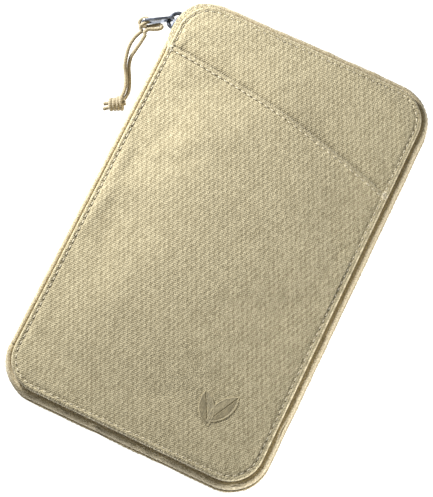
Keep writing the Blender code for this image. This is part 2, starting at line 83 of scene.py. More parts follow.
# ------------------------------------------------------------------ places read from the frame
PANEL_LOW, PANEL_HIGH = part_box("back_panel")
HALF_W = PANEL_HIGH.x
HALF_H = PANEL_HIGH.y
BASE_LOW, BASE_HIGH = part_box("front_panel")
POCKET_LOW, POCKET_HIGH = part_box("pocket_panel")
WALL_LOW, WALL_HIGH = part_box("side_wall_back")
BULGE = WALL_HIGH.x - HALF_W
THICK = POCKET_HIGH.z
MID_Z = THICK / 2
JOINTS = {joint["name"]: joint for joint in frame["joints"]}
ARC_CENTRE = Vector(JOINTS["slider_travel"]["pos_m"])
CORNER = HALF_H - ARC_CENTRE.y
TAB_PIVOT = Vector(JOINTS["pull_tab_swing"]["pos_m"])
COIN_PIVOT = Vector(JOINTS["coin_tab_swing"]["pos_m"])
TAPE_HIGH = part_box("zip_tape_back")[1]
COIL_LOW, COIL_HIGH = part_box("zip_coil_back")
SLIDER_LOW, SLIDER_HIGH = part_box("slider_body")
KNOT_LOW, KNOT_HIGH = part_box("cord_knot")


# ------------------------------------------------------------------ what a user would change
def length(name, text, default):
    return FloatProperty(name=name, description=text, default=default, min=0.0, subtype='DISTANCE',
                         unit='LENGTH')


def colour(name, text, default):
    return FloatVectorProperty(name=name, description=text, default=default, size=3, min=0.0, max=1.0,
                               subtype='COLOR')


class WalletCloth(bpy.types.PropertyGroup):
    """Sizes of the woven cloth and how it is sewn."""
    float_width: length("Float width", "Width of one raised yarn of the face cloth", 1.16 * MM)
    float_length: length("Float length", "Length of one raised yarn of the face cloth", 2.38 * MM)
    grid: length("Mesh step", "Distance between the points of a cloth panel", 1.7 * MM)
    edge_roll: length("Edge roll", "Radius of a turned edge", 1.0 * MM)
    crown: length("Crown", "How far a panel swells in its middle", 4.6 * MM)
    seam_inset: length("Seam inset", "From a panel's edge to its row of stitches", 2.2 * MM)
    stitch_pitch: length("Stitch pitch", "Distance from one needle hole to the next", 3.3 * MM)
    stitch_length: length("Stitch length", "Length of thread that shows between two holes", 2.3 * MM)
    thread_radius: length("Thread radius", "Half the thickness of the sewing thread", 0.3 * MM)


class WalletZip(bpy.types.PropertyGroup):
    """Sizes of the zip and its pull cord."""
    tooth_pitch: length("Tooth pitch", "Distance between the turns of the coil", 1.05 * MM)
    cord_diameter: length("Cord diameter", "Thickness of the braided cord", 1.9 * MM)
    braid_pitch: length("Braid pitch", "Length of one diamond of the braid", 1.5 * MM)


class WalletColours(bpy.types.PropertyGroup):
    """Colours of the finishes."""
    # Each light and dark pair of the woven finishes is mixed by how far a yarn stands up: partly the cloth's
    # real two tones, partly painted highlight on raised yarns and painted shade on sunken ones.
    sand_light: colour("Sand, light yarn", "Raised yarns of the face cloth", (0.61, 0.535, 0.345))
    sand_dark: colour("Sand, dark yarn", "Sunken yarns of the face cloth", (0.31, 0.26, 0.15))
    web_light: colour("Wall, light yarn", "Light flecks of the side wall", (0.70, 0.61, 0.42))
    web_dark: colour("Wall, dark yarn", "Dark flecks of the side wall", (0.37, 0.30, 0.165))
    tape: colour("Zip tape", "Woven tape of the zip", (0.66, 0.59, 0.43))
    lining: colour("Lining", "Smooth cloth inside", (0.34, 0.31, 0.25))
    thread: colour("Thread", "Sewing thread", (0.72, 0.65, 0.48))
    # The needle-hole colour is painted shade: near-black beads stand in for the shade where the thread dips
    # into each hole.
    hole: colour("Needle hole", "Shade where the needle went through", (0.10, 0.075, 0.04))
    steel: colour("Steel", "Slider and tab", (0.20, 0.225, 0.275))
    cord_light: colour("Cord, light yarn", "Light strands of the braid", (0.48, 0.41, 0.265))
    cord_dark: colour("Cord, dark yarn", "Dark strands of the braid", (0.22, 0.175, 0.10))


def cloth():
    return bpy.context.scene.wallet_cloth


def zip_sizes():
    return bpy.context.scene.wallet_zip


def colours():
    return bpy.context.scene.wallet_colours


# ------------------------------------------------------------------ shader groups
def socket(group, name, kind, way='INPUT', default=None):
    made = group.interface.new_socket(name=name, in_out=way, socket_type=kind)
    if default is not None:
        made.default_value = default
    return made


def new_group(name, inputs, outputs):
    group = bpy.data.node_groups.new(name, 'ShaderNodeTree')
    for label, kind, default in inputs:
        socket(group, label, kind, default=default)
    for label, kind in outputs:
        socket(group, label, kind, way='OUTPUT')
    return group, group.nodes.new('NodeGroupInput'), group.nodes.new('NodeGroupOutput')


def maths(tree, operation, *values):
    """One sum on numbers or sockets, as a socket."""
    node = tree.nodes.new('ShaderNodeMath')
    node.operation = operation
    for i, value in enumerate(values):
        if isinstance(value, (int, float)):
            node.inputs[i].default_value = value
        else:
            tree.links.new(value, node.inputs[i])
    return node.outputs[0]


def wave(tree, value, rate, shift=0.0):
    """The sine of a value times a rate."""
    return maths(tree, 'SINE', maths(tree, 'MULTIPLY_ADD', value, rate, shift))


def centred(tree, value, amount):
    """A value between 0 and 1, moved to lie round zero and scaled."""
    return maths(tree, 'MULTIPLY', maths(tree, 'SUBTRACT', value, 0.5), amount)


def clamped(tree, value):
    """A value held between 0 and 1."""
    node = tree.nodes.new('ShaderNodeClamp')
    tree.links.new(value, node.inputs[0])
    return node.outputs[0]


def blend_colour(tree, factor, one, two):
    """A colour between two others; the factor and the colours are sockets or plain values."""
    node = tree.nodes.new('ShaderNodeMix')
    node.data_type = 'RGBA'
    for i, value in ((0, factor), (6, one), (7, two)):
        if isinstance(value, (int, float, tuple)):
            node.inputs[i].default_value = value
        else:
            tree.links.new(value, node.inputs[i])
    return node.outputs[2]


def noise_value(tree, vector, scale, detail=2.0, roughness=0.5):
    node = tree.nodes.new('ShaderNodeTexNoise')
    node.inputs['Scale'].default_value = scale
    node.inputs['Detail'].default_value = detail
    node.inputs['Roughness'].default_value = roughness
    if vector is not None:
        tree.links.new(vector, node.inputs['Vector'])
    return node


def wobbled(tree, vector, scale, amount):
    """A vector pushed about a little by noise, so no yarn is quite straight."""
    cloud = noise_value(tree, vector, scale, 2.0)
    about_zero = tree.nodes.new('ShaderNodeVectorMath')
    about_zero.operation = 'SUBTRACT'
    tree.links.new(cloud.outputs['Color'], about_zero.inputs[0])
    about_zero.inputs[1].default_value = (0.5, 0.5, 0.5)
    small = tree.nodes.new('ShaderNodeVectorMath')
    small.operation = 'SCALE'
    tree.links.new(about_zero.outputs[0], small.inputs[0])
    small.inputs['Scale'].default_value = amount
    moved = tree.nodes.new('ShaderNodeVectorMath')
    moved.operation = 'ADD'
    tree.links.new(vector, moved.inputs[0])
    tree.links.new(small.outputs[0], moved.inputs[1])
    return moved.outputs[0]


# The noises of the woven cloth: how fine each is, in cycles per metre, and how much it changes the tone.
FIBRE = (2600.0, 0.5)
GRIT = (1500.0, 2.6)
CLOUD = (28.0, 0.15)


def weave_group():
    """Two-tone cloth: long raised yarns set like bricks, with a melange of lighter and darker ones; the
    raised yarns also carry painted highlight and the sunken ones painted shade.
    """
    group, start, end = new_group("weave_tone_and_painted_shade", [
        ("Vector", 'NodeSocketVector', None), ("Across", 'NodeSocketFloat', 1.0 * MM),
        ("Along", 'NodeSocketFloat', 2.0 * MM), ("Light", 'NodeSocketColor', (0.7, 0.6, 0.4, 1)),
        ("Dark", 'NodeSocketColor', (0.4, 0.3, 0.2, 1)), ("Melange", 'NodeSocketFloat', 0.3),
    ], [("Color", 'NodeSocketColor'), ("Height", 'NodeSocketFloat')])
    out = start.outputs
    moved = wobbled(group, out["Vector"], 420.0, 1.1 * MM)
    split = group.nodes.new('ShaderNodeSeparateXYZ')
    group.links.new(moved, split.inputs[0])
    u = maths(group, 'DIVIDE', split.outputs[0], out["Across"])
    v = maths(group, 'DIVIDE', split.outputs[1], out["Along"])
    raised = maths(group, 'MULTIPLY', wave(group, u, pi), wave(group, v, pi))
    fine = maths(group, 'MULTIPLY', wave(group, u, 2.0 * pi, 0.6), wave(group, v, 4.0 * pi, 0.3))
    lift = maths(group, 'MULTIPLY_ADD', raised, 0.36, 0.5)
    lift = maths(group, 'ADD', lift, maths(group, 'MULTIPLY', fine, 0.5))
    lift = clamped(group, lift)
    cell = group.nodes.new('ShaderNodeCombineXYZ')
    group.links.new(maths(group, 'FLOOR', u), cell.inputs[0])
    group.links.new(maths(group, 'FLOOR', v), cell.inputs[1])
    dice = group.nodes.new('ShaderNodeTexWhiteNoise')
    dice.noise_dimensions = '2D'
    group.links.new(cell.outputs[0], dice.inputs['Vector'])
    fleck = centred(group, dice.outputs['Value'], out["Melange"])
    fibre = centred(group, noise_value(group, out["Vector"], FIBRE[0], 2.0).outputs['Fac'], FIBRE[1])
    # The tone follows the yarns' lift: raised yarns are painted lighter and sunken ones darker, painted
    # highlight and shade of the relief, on top of the real melange flecks.
    tone = maths(group, 'ADD', maths(group, 'ADD', lift, fleck), fibre)
    grit = noise_value(group, out["Vector"], GRIT[0], 2.0, 0.6).outputs['Fac']
    tone = maths(group, 'ADD', tone, centred(group, grit, GRIT[1]))
    cloud = noise_value(group, out["Vector"], CLOUD[0], 3.0).outputs['Fac']
    tone = clamped(group, maths(group, 'ADD', tone, centred(group, cloud, CLOUD[1])))
    group.links.new(blend_colour(group, tone, out["Dark"], out["Light"]), end.inputs["Color"])
    height = maths(group, 'ADD', lift, maths(group, 'MULTIPLY', wave(group, u, pi * 6), 0.05))
    height = maths(group, 'ADD', height, maths(group, 'MULTIPLY', fibre, 0.6))
    group.links.new(height, end.inputs["Height"])
    return group


def rub_group():
    """A soft mask for dust and rubbing, from large noise."""
    group, start, end = new_group("rubbed", [
        ("Vector", 'NodeSocketVector', None), ("Scale", 'NodeSocketFloat', 60.0),
        ("Low", 'NodeSocketFloat', 0.4), ("High", 'NodeSocketFloat', 0.7),
    ], [("Mask", 'NodeSocketFloat')])
    cloud = noise_value(group, start.outputs["Vector"], 1.0, 4.0)
    group.links.new(start.outputs["Scale"], cloud.inputs['Scale'])
    ramp = group.nodes.new('ShaderNodeMapRange')
    ramp.interpolation_type = 'SMOOTHSTEP'
    group.links.new(cloud.outputs['Fac'], ramp.inputs['Value'])
    group.links.new(start.outputs["Low"], ramp.inputs['From Min'])
    group.links.new(start.outputs["High"], ramp.inputs['From Max'])
    group.links.new(ramp.outputs[0], end.inputs["Mask"])
    return group


def use_group(tree, group, **values):
    node = tree.nodes.new('ShaderNodeGroup')
    node.node_tree = group
    for name, value in values.items():
        entry = node.inputs[name]
        if isinstance(value, (int, float)):
            entry.default_value = value
        elif isinstance(value, tuple):
            entry.default_value = (*value, 1.0) if len(value) == 3 and entry.type == 'RGBA' else value
        else:
            tree.links.new(value, entry)
    return node


def new_material(name, rough, metal=0.0):
    made = bpy.data.materials.new(name)
    made.use_nodes = True
    tree = made.node_tree
    shader = tree.nodes["Principled BSDF"]
    shader.inputs["Roughness"].default_value = rough
    shader.inputs["Metallic"].default_value = metal
    return made, tree, shader


def own_uv(tree):
    node = tree.nodes.new('ShaderNodeUVMap')
    node.uv_map = UV_NAME
    return node.outputs[0]


def own_place(tree):
    return tree.nodes.new('ShaderNodeTexCoord').outputs['Object']


def add_bump(tree, shader, height, distance):
    bump = tree.nodes.new('ShaderNodeBump')
    bump.inputs['Distance'].default_value = distance
    bump.inputs['Strength'].default_value = 1.0
    tree.links.new(height, bump.inputs['Height'])
    tree.links.new(bump.outputs[0], shader.inputs['Normal'])


def woven(name, light, dark, across, along, melange, depth, rough=0.9, sheen=0.25):
    """Woven cloth of two yarns that follows the piece's own UV map; its raised yarns carry painted highlight
    and its sunken ones painted shade.
    """
    made, tree, shader = new_material(name, rough)
    lie = own_uv(tree)
    weave = use_group(tree, GROUPS["weave"], Vector=lie, Across=across, Along=along, Light=tuple(light),
                      Dark=tuple(dark), Melange=melange)
    tree.links.new(weave.outputs["Color"], shader.inputs["Base Color"])
    add_bump(tree, shader, weave.outputs["Height"], depth)
    shader.inputs["Sheen Weight"].default_value = sheen
    shader.inputs["Sheen Roughness"].default_value = 0.5
    shader.inputs["Specular IOR Level"].default_value = 0.25
    return made


def plain_finish(name, tint, rough, metal=0.0, grain=900.0, depth=0.03 * MM, variation=0.12):
    """A finish with a fine grain and soft variation, on object coordinates."""
    made, tree, shader = new_material(name, rough, metal)
    place = own_place(tree)
    mask = use_group(tree, GROUPS["rub"], Vector=place, Scale=grain / 8)
    dark = tuple(c * (1 - variation) for c in tint)
    light = tuple(min(1.0, c * (1 + variation)) for c in tint)
    tone = blend_colour(tree, mask.outputs[0], (*dark, 1.0), (*light, 1.0))
    tree.links.new(tone, shader.inputs["Base Color"])
    shade = maths(tree, 'MULTIPLY_ADD', mask.outputs[0], 0.12, rough - 0.06)
    tree.links.new(shade, shader.inputs["Roughness"])
    fine = noise_value(tree, place, grain, 3.0).outputs['Fac']
    add_bump(tree, shader, fine, depth)
    return made


def steel_finish(name, steel, gloss):
    """Brushed, blue-grey plated metal with rubbed bright patches."""
    made, tree, shader = new_material(name, 0.3, 1.0)
    place = own_place(tree)
    stretch = tree.nodes.new('ShaderNodeMapping')
    stretch.inputs['Scale'].default_value = (1.0, 1.0, 0.06)
    tree.links.new(place, stretch.inputs['Vector'])
    lines = noise_value(tree, stretch.outputs[0], 5200.0, 3.0).outputs['Fac']
    mask = use_group(tree, GROUPS["rub"], Vector=place, Scale=420.0, Low=0.45, High=0.65)
    bright = tuple(min(1.0, c * 1.9 + 0.05) for c in steel)
    tone = blend_colour(tree, mask.outputs[0], (*steel, 1.0), (*bright, 1.0))
    tree.links.new(tone, shader.inputs["Base Color"])
    tree.links.new(maths(tree, 'MULTIPLY_ADD', lines, 0.25, gloss), shader.inputs["Roughness"])
    add_bump(tree, shader, lines, 0.012 * MM)
    return made


def braid_finish():
    """Braided cord: light and dark diamonds that follow its own UV map."""
    made, tree, shader = new_material("braided_cord", 0.8)
    lie = own_uv(tree)
    split = tree.nodes.new('ShaderNodeSeparateXYZ')
    tree.links.new(lie, split.inputs[0])
    across, along = split.outputs[0], split.outputs[1]
    one = wave(tree, maths(tree, 'ADD', across, along), 2 * pi)
    two = wave(tree, maths(tree, 'SUBTRACT', across, along), 2 * pi)
    tone = maths(tree, 'MULTIPLY_ADD', maths(tree, 'MULTIPLY', one, two), 0.6, 0.5)
    fuzz = noise_value(tree, own_place(tree), 3200.0, 2.0).outputs['Fac']
    tone = clamped(tree, maths(tree, 'ADD', tone, centred(tree, fuzz, 0.8)))
    tint = blend_colour(tree, tone, (*colours().cord_dark, 1.0), (*colours().cord_light, 1.0))
    tree.links.new(tint, shader.inputs["Base Color"])
    add_bump(tree, shader, tone, 0.08 * MM)
    shader.inputs["Sheen Weight"].default_value = 0.3
    return made


GROUPS = {}
FINISH = {}


def make_finishes():
    GROUPS["weave"] = weave_group()
    GROUPS["rub"] = rub_group()
    tints = colours()
    sizes = cloth()
    # Every woven finish darkens its sunken yarns: partly real two-tone yarn, partly painted shade.
    FINISH["face"] = woven("sand_face_cloth", tints.sand_light, tints.sand_dark, sizes.float_width,
                           sizes.float_length, 0.5, 0.2 * MM)
    FINISH["web"] = woven("melange_wall_cloth", tints.web_light, tints.web_dark, 0.55 * MM, 0.6 * MM, 1.1,
                          0.10 * MM)
    FINISH["tape"] = woven("zip_tape", tints.tape, tuple(c * 0.72 for c in tints.tape), 0.35 * MM, 0.9 * MM,
                           0.3, 0.06 * MM, rough=0.75)
    FINISH["lining"] = woven("lining_cloth", tints.lining, tuple(c * 0.8 for c in tints.lining), 0.3 * MM,
                             0.3 * MM, 0.15, 0.03 * MM, rough=0.55, sheen=0.1)
    FINISH["thread"] = plain_finish("sewing_thread", tuple(tints.thread), 0.65, grain=4000.0)
    sand = tuple((a + b) / 2 for a, b in zip(tints.sand_light, tints.sand_dark))
    FINISH["mark"] = plain_finish("mark_thread", sand, 0.7, grain=4000.0)
    # Needle holes get a near-black finish: painted shade at each hole, not a colour of the cloth or thread.
    FINISH["hole"] = plain_finish("needle_hole_painted_shade", tuple(tints.hole), 0.95)
    FINISH["coil"] = plain_finish("nylon_coil", tuple(c * 0.75 for c in tints.tape), 0.42, grain=1500.0)
    FINISH["board"] = plain_finish("foam_board", (0.08, 0.08, 0.085), 0.8, grain=1200.0, depth=0.05 * MM)
    FINISH["foil"] = plain_finish("shield_foil", (0.6, 0.6, 0.59), 0.35, metal=0.9, grain=500.0)
    FINISH["steel"] = steel_finish("blue_grey_steel", tuple(tints.steel), 0.2)
    FINISH["gunmetal"] = steel_finish("dark_gunmetal", tuple(c * 0.36 for c in tints.steel), 0.3)
    FINISH["cord"] = braid_finish()
    FINISH["floor"] = plain_finish("pale_floor", (0.4, 0.4, 0.4), 0.9, grain=60.0, depth=0.0, variation=0.01)
    glow = FINISH["floor"].node_tree.nodes["Principled BSDF"]
    glow.inputs["Emission Color"].default_value = (1.0, 1.0, 1.0, 1.0)
    glow.inputs["Emission Strength"].default_value = 0.97


# ------------------------------------------------------------------ mesh helpers
def to_object(name, bm, finish, uv=None, smooth=True):
    """A bmesh in metres as a named object; uv gives a texture place for each vertex index."""
    mesh = bpy.data.meshes.new(name)
    bm.to_mesh(mesh)
    bm.free()
    if uv is not None:
        layer = mesh.uv_layers.new(name=UV_NAME)
        ids = np.empty(len(mesh.loops), dtype=np.int32)
        mesh.loops.foreach_get("vertex_index", ids)
        layer.data.foreach_set("uv", np.asarray(uv, dtype=np.float32)[ids].ravel())
    if smooth:
        mesh.shade_smooth()
    mesh.materials.append(FINISH[finish])
    return placed(name, mesh)


def placed(name, data):
    """Puts a mesh, a lamp or a camera into the scene under its name."""
    made = bpy.data.objects.new(name, data)
    bpy.context.scene.collection.objects.link(made)
    return made


def settle(made):
    """Applies what the modifiers make, so a plain mesh is left."""
    bpy.context.view_layer.update()
    result = bpy.data.meshes.new_from_object(made.evaluated_get(bpy.context.evaluated_depsgraph_get()))
    made.modifiers.clear()
    made.data = result
    return made


def thicken(made, thickness):
    mod = made.modifiers.new("Cloth thickness", 'SOLIDIFY')
    mod.thickness = thickness
    mod.offset = -1.0
    mod.use_even_offset = False
    return settle(made)


def turned_over(made, level):
    """Turns a piece upside down: what was at height z is then at level - z."""
    for vert in made.data.vertices:
        vert.co.z = level - vert.co.z
    made.data.flip_normals()


# The sewn pieces of both halves, which are eased at the end.
FABRIC = []
# How the top edge bows: where that starts up the side, the length it takes, and how far it goes.
BOW_START = 50 * MM
BOW_RUN = 52 * MM
TOP_BOW = 0.9 * MM
# The swollen top left corner: its middle, its reach, and how far it goes up and out to the left.
EAR_X = -58 * MM
EAR_Y = 97 * MM
EAR_REACH = 15 * MM
EAR_UP = 0.8 * MM
EAR_OUT = 0.35 * MM


def bow(x, y):
    """How the sewn edges stray from straight lines: the top swells out, most at its left corner."""
    high = min(1.0, max(0.0, (y - BOW_START) / BOW_RUN)) ** 2
    up = TOP_BOW * high * max(0.0, 1 - (x / HALF_W) ** 2)
    near = np.exp(-((x - EAR_X) ** 2 + (y - EAR_Y) ** 2) / EAR_REACH ** 2)
    return -EAR_OUT * near, up + EAR_UP * near


def finished(made, body, slot, *nodes):
    """Puts a piece on the body it rides on and hides the CAD nodes it stands for; a sewn piece of either half
    is also kept for easing. The slot is not used.
    """
    if body in ("front_half", "back_half"):
        FABRIC.append(made)
    if nodes:
        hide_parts(*nodes)
    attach(made, body)
    return made


def arc_points(cx, cy, radius, start, end, steps):
    turn = [radians(start + (end - start) * i / steps) for i in range(steps + 1)]
    return [(cx + radius * cos(a), cy + radius * sin(a)) for a in turn]


def rounded_outline(low, high, radius, step):
    """Points round a rectangle with round corners, evenly spread."""
    corners = ((high[0] - radius, low[1] + radius, 270), (high[0] - radius, high[1] - radius, 0),
               (low[0] + radius, high[1] - radius, 90), (low[0] + radius, low[1] + radius, 180))
    points = []
    steps = max(4, round(radius * pi / 2 / step))
    for cx, cy, start in corners:
        points += arc_points(cx, cy, radius, start, start + 90, steps)
    return spread(points + points[:1], step)[:-1]


def spread(points, step):
    """Evenly spaced points along a chain of points in two or three dimensions."""
    line = np.asarray(points, dtype=float)
    run = np.concatenate([[0], np.cumsum(np.linalg.norm(np.diff(line, axis=0), axis=1))])
    count = max(2, int(round(run[-1] / step)))
    marks = np.linspace(0, run[-1], count + 1)
    columns = [np.interp(marks, run, line[:, k]) for k in range(line.shape[1])]
    return [tuple(row) for row in np.stack(columns, 1)]


def distance_to(line, places):
    """Distance of each place to a closed or open chain of points, all in two dimensions."""
    line = np.asarray(line)[:, :2]
    places = np.asarray(places)[:, :2]
    best = np.full(len(places), np.inf)
    for a, b in zip(line[:-1], line[1:]):
        span = b - a
        t = np.clip(((places - a) @ span) / max(span @ span, 1e-18), 0, 1)
        best = np.minimum(best, np.linalg.norm(places - a - t[:, None] * span, axis=1))
    return best


def soft_noise(x, y, scale, seed=0.0):
    return noise.noise(Vector((x * scale, y * scale, seed)))


# Distances in from a panel's edge at which rows of points follow it, in millimetres.
RIM_ROWS = (0.12, 0.35, 0.75, 1.3, 1.85, 2.4, 3.1, 3.8, 4.5, 5.2)


def cloth_panel(name, outline, height, thickness, finish, step, extra=None):
    """A closed panel of cloth: a ring of points, its upper face as height(x, y, d), and extra points."""
    ring = list(outline)
    loop = np.array(ring + ring[:1])
    low, high = loop.min(0), loop.max(0)
    xs = np.arange(low[0] + step / 2, high[0], step)
    ys = np.arange(low[1] + step / 2, high[1], step)
    gx, gy = np.meshgrid(xs, ys)
    gx[1::2] += step / 2
    inside = np.stack([gx.ravel(), gy.ravel()], 1)
    near = []
    normals = np.roll(loop[:-1], -1, 0) - np.roll(loop[:-1], 1, 0)
    normals = np.stack([-normals[:, 1], normals[:, 0]], 1)
    normals /= np.linalg.norm(normals, axis=1)[:, None]
    depths = [d * MM for d in RIM_ROWS]
    for depth in depths:
        row = loop[:-1] + normals * depth
        keep = distance_to(loop, row) > depth * 0.97
        near.append(row[keep])
    far = inside[(distance_to(loop, inside) > depths[-1] + step * 0.5) & inside_ring(loop, inside)]
    if extra is not None:
        near.append(extra[inside_ring(loop, extra) & (distance_to(loop, extra) > 2.2 * MM)])
    points = np.concatenate([loop[:-1]] + near + [far])
    count = len(ring)
    edges = [(i, (i + 1) % count) for i in range(count)]
    flat, _, faces, _, _, _ = delaunay_2d_cdt([Vector(p) for p in points], edges, [], 1, 1e-7)
    flat = np.array([tuple(p) for p in flat])
    gap = distance_to(loop, flat)
    bm = bmesh.new()
    verts = [bm.verts.new((x, y, height(x, y, d))) for (x, y), d in zip(flat, gap)]
    for face in faces:
        bm.faces.new([verts[i] for i in face])
    for face in bm.faces:
        face.normal_update()
        if face.normal.z < 0:
            face.normal_flip()
    made = to_object(name, bm, finish, uv=flat)
    return thicken(made, thickness)


def inside_ring(loop, places):
    """True for each place inside a closed ring of points."""
    x, y = places[:, 0], places[:, 1]
    hit = np.zeros(len(places), dtype=bool)
    for (ax, ay), (bx, by) in zip(loop[:-1], loop[1:]):
        if ay == by:
            continue
        cross = ((ay > y) != (by > y)) & (x < (bx - ax) * (y - ay) / (by - ay) + ax)
        hit ^= cross
    return hit


def surface_of(made):
    """A function that drops a point onto a piece from above (or from below)."""
    tree = BVHTree.FromObject(made, bpy.context.evaluated_depsgraph_get())

    def drop(x, y, down=True):
        start = Vector((x, y, 0.1 if down else -0.1))
        hit = tree.ray_cast(start, Vector((0, 0, -1 if down else 1)))
        return hit[0].z if hit[0] else None
    return drop


def swept(name, path, section, finish):
    """A section swept along a path. path gives (point, out, up, run); section(run) gives (out, up) pairs."""
    bm = bmesh.new()
    rows = []
    uv = []
    for point, out, up, run in path:
        row = []
        ring = section(run)
        girth = 0.0
        last = None
        for o, u in ring:
            if last is not None:
                girth += sqrt((o - last[0]) ** 2 + (u - last[1]) ** 2)
            last = (o, u)
            row.append(bm.verts.new(Vector(point) + out * o + up * u))
            uv.append((run, girth))
        rows.append(row)
    size = len(rows[0])
    for one, two in zip(rows, rows[1:]):
        for j in range(size):
            k = (j + 1) % size
            bm.faces.new((one[j], one[k], two[k], two[j]))
    bm.faces.new(rows[0][::-1])
    bm.faces.new(rows[-1])
    bmesh.ops.recalc_face_normals(bm, faces=bm.faces)
    return to_object(name, bm, finish, uv=uv)


# ------------------------------------------------------------------ shapes that several pieces share
def corner_rows(cx, cy, start, end, steps):
    """Rows of x, y and outward normal round one of the wallet's corners."""
    turn = [radians(start + (end - start) * i / steps) for i in range(steps + 1)]
    return [(cx + CORNER * cos(a), cy + CORNER * sin(a), cos(a), sin(a)) for a in turn]


def wall_path(first, last, step=1.5 * MM):
    """Along the panel's edge from the bottom left corner round to the top left one, with its outward side."""
    ax, ay = HALF_W - CORNER, HALF_H - CORNER
    corners = ((-ax, -ay, first, 270.0), (ax, -ay, 270.0, 360.0), (ax, ay, 0.0, 90.0), (-ax, ay, 90.0, last))
    line = []
    for cx, cy, start, end in corners:
        line += corner_rows(cx, cy, start, end, 32)
    return frames_from(line, step)


def frames_from(line, step):
    """Even frames (point, out, up, run) from rows of x, y and outward normal."""
    line = np.asarray(line)
    run = np.concatenate([[0], np.cumsum(np.linalg.norm(np.diff(line[:, :2], axis=0), axis=1))])
    marks = np.linspace(0, run[-1], max(2, int(round(run[-1] / step))) + 1)
    path = []
    for mark in marks:
        x, y, nx, ny = (float(np.interp(mark, run, line[:, k])) for k in range(4))
        out = Vector((nx, ny, 0)).normalized()
        path.append((Vector((x, y, 0)), out, Vector((0, 0, 1)), float(mark)))
    return path


def side_path(low, high, step=1.5 * MM):
    """Up the straight left side."""
    return frames_from([(-HALF_W, high, -1, 0), (-HALF_W, low, -1, 0)], step)


# The slip pocket: its mouth at both sides, how far it bows up, and the depth of its hem.
MOUTH_LEFT = HALF_H - 26.2 * MM
MOUTH_RIGHT = HALF_H - 51.0 * MM
MOUTH_BOW = 3.5 * MM
HEM_DEPTH = 5.0 * MM


def mouth(x):
    """Height of the slip pocket's slanted mouth, which bows up a little in its middle."""
    along = x / HALF_W
    level = MOUTH_LEFT + (MOUTH_RIGHT - MOUTH_LEFT) * (along + 1) / 2
    return level + MOUTH_BOW * (1 - along * along)


def edge_drop(d, roll):
    """How far a turned edge has rolled down at distance d from the edge."""
    if d >= roll:
        return 0.0
    return roll - sqrt(max(0.0, roll * roll - (roll - d) ** 2))


def seam_dip(d, inset, depth, width):
    """The furrow that a row of stitches pulls into the cloth."""
    return -depth * np.exp(-((d - inset) / width) ** 2)


def band(d, wide, tall):
    """The rounded band between an edge and its row of stitches."""
    return tall * sin(pi * min(1.0, max(0.0, d / wide))) ** 0.7


def crown_share(x, y):
    """From 0 at the edge of a panel to 1 over most of its middle."""
    a = max(0.0, 1 - (abs(x) / HALF_W) ** 1.8)
    b = max(0.0, 1 - (abs(y) / HALF_H) ** 2.4)
    return a * b


# Soft dents of a half-filled wallet: (x, y, reach along x, reach along y, depth), in millimetres.
DENTS = (
    (50.0, 27.0, 10.0, 7.0, 1.1), (48.0, -19.0, 11.0, 8.0, 1.1), (-46.0, 71.0, 13.0, 9.0, 1.5),
    (-34.0, -89.0, 9.0, 6.0, 0.7), (40.0, -50.0, 15.0, 34.0, 0.9), (-40.0, -6.0, 20.0, 16.0, 0.9),
    (36.0, 68.0, 18.0, 9.0, 1.0), (-24.0, 36.0, 26.0, 22.0, -0.6), (30.0, 86.0, 22.0, 8.0, 0.5),
    (-34.0, -62.0, 16.0, 18.0, -0.6), (12.0, 4.0, 16.0, 8.0, 0.5), (18.0, -78.0, 20.0, 9.0, 0.5),
    (44.0, 6.0, 8.0, 9.0, -0.6), (44.0, -34.0, 9.0, 8.0, -0.5), (-6.0, 84.0, 14.0, 7.0, -0.4),
)


def dent(x, y):
    """How far the dents push the cloth down at a place; bumps push it up."""
    total = 0.0
    for cx, cy, rx, ry, depth in DENTS:
        dx, dy = (x / MM - cx) / rx, (y / MM - cy) / ry
        total -= 1.5 * depth * MM * np.exp(-(dx * dx + dy * dy))
    return float(total)


# The swelling of a sewn sheet, found once: a grid of heights and the size it covers.
SWELL = {}
SWELL_COLUMNS = 33
SWELL_ROWS = 53
SWELL_FRAMES = 20
# Shares of the plain crown and of the cloth's own swelling, and the lowest that the cloth may sink.
CROWN_SHARE = 0.6
CLOTH_SHARE = 0.5
LOWEST_SINK = -0.1


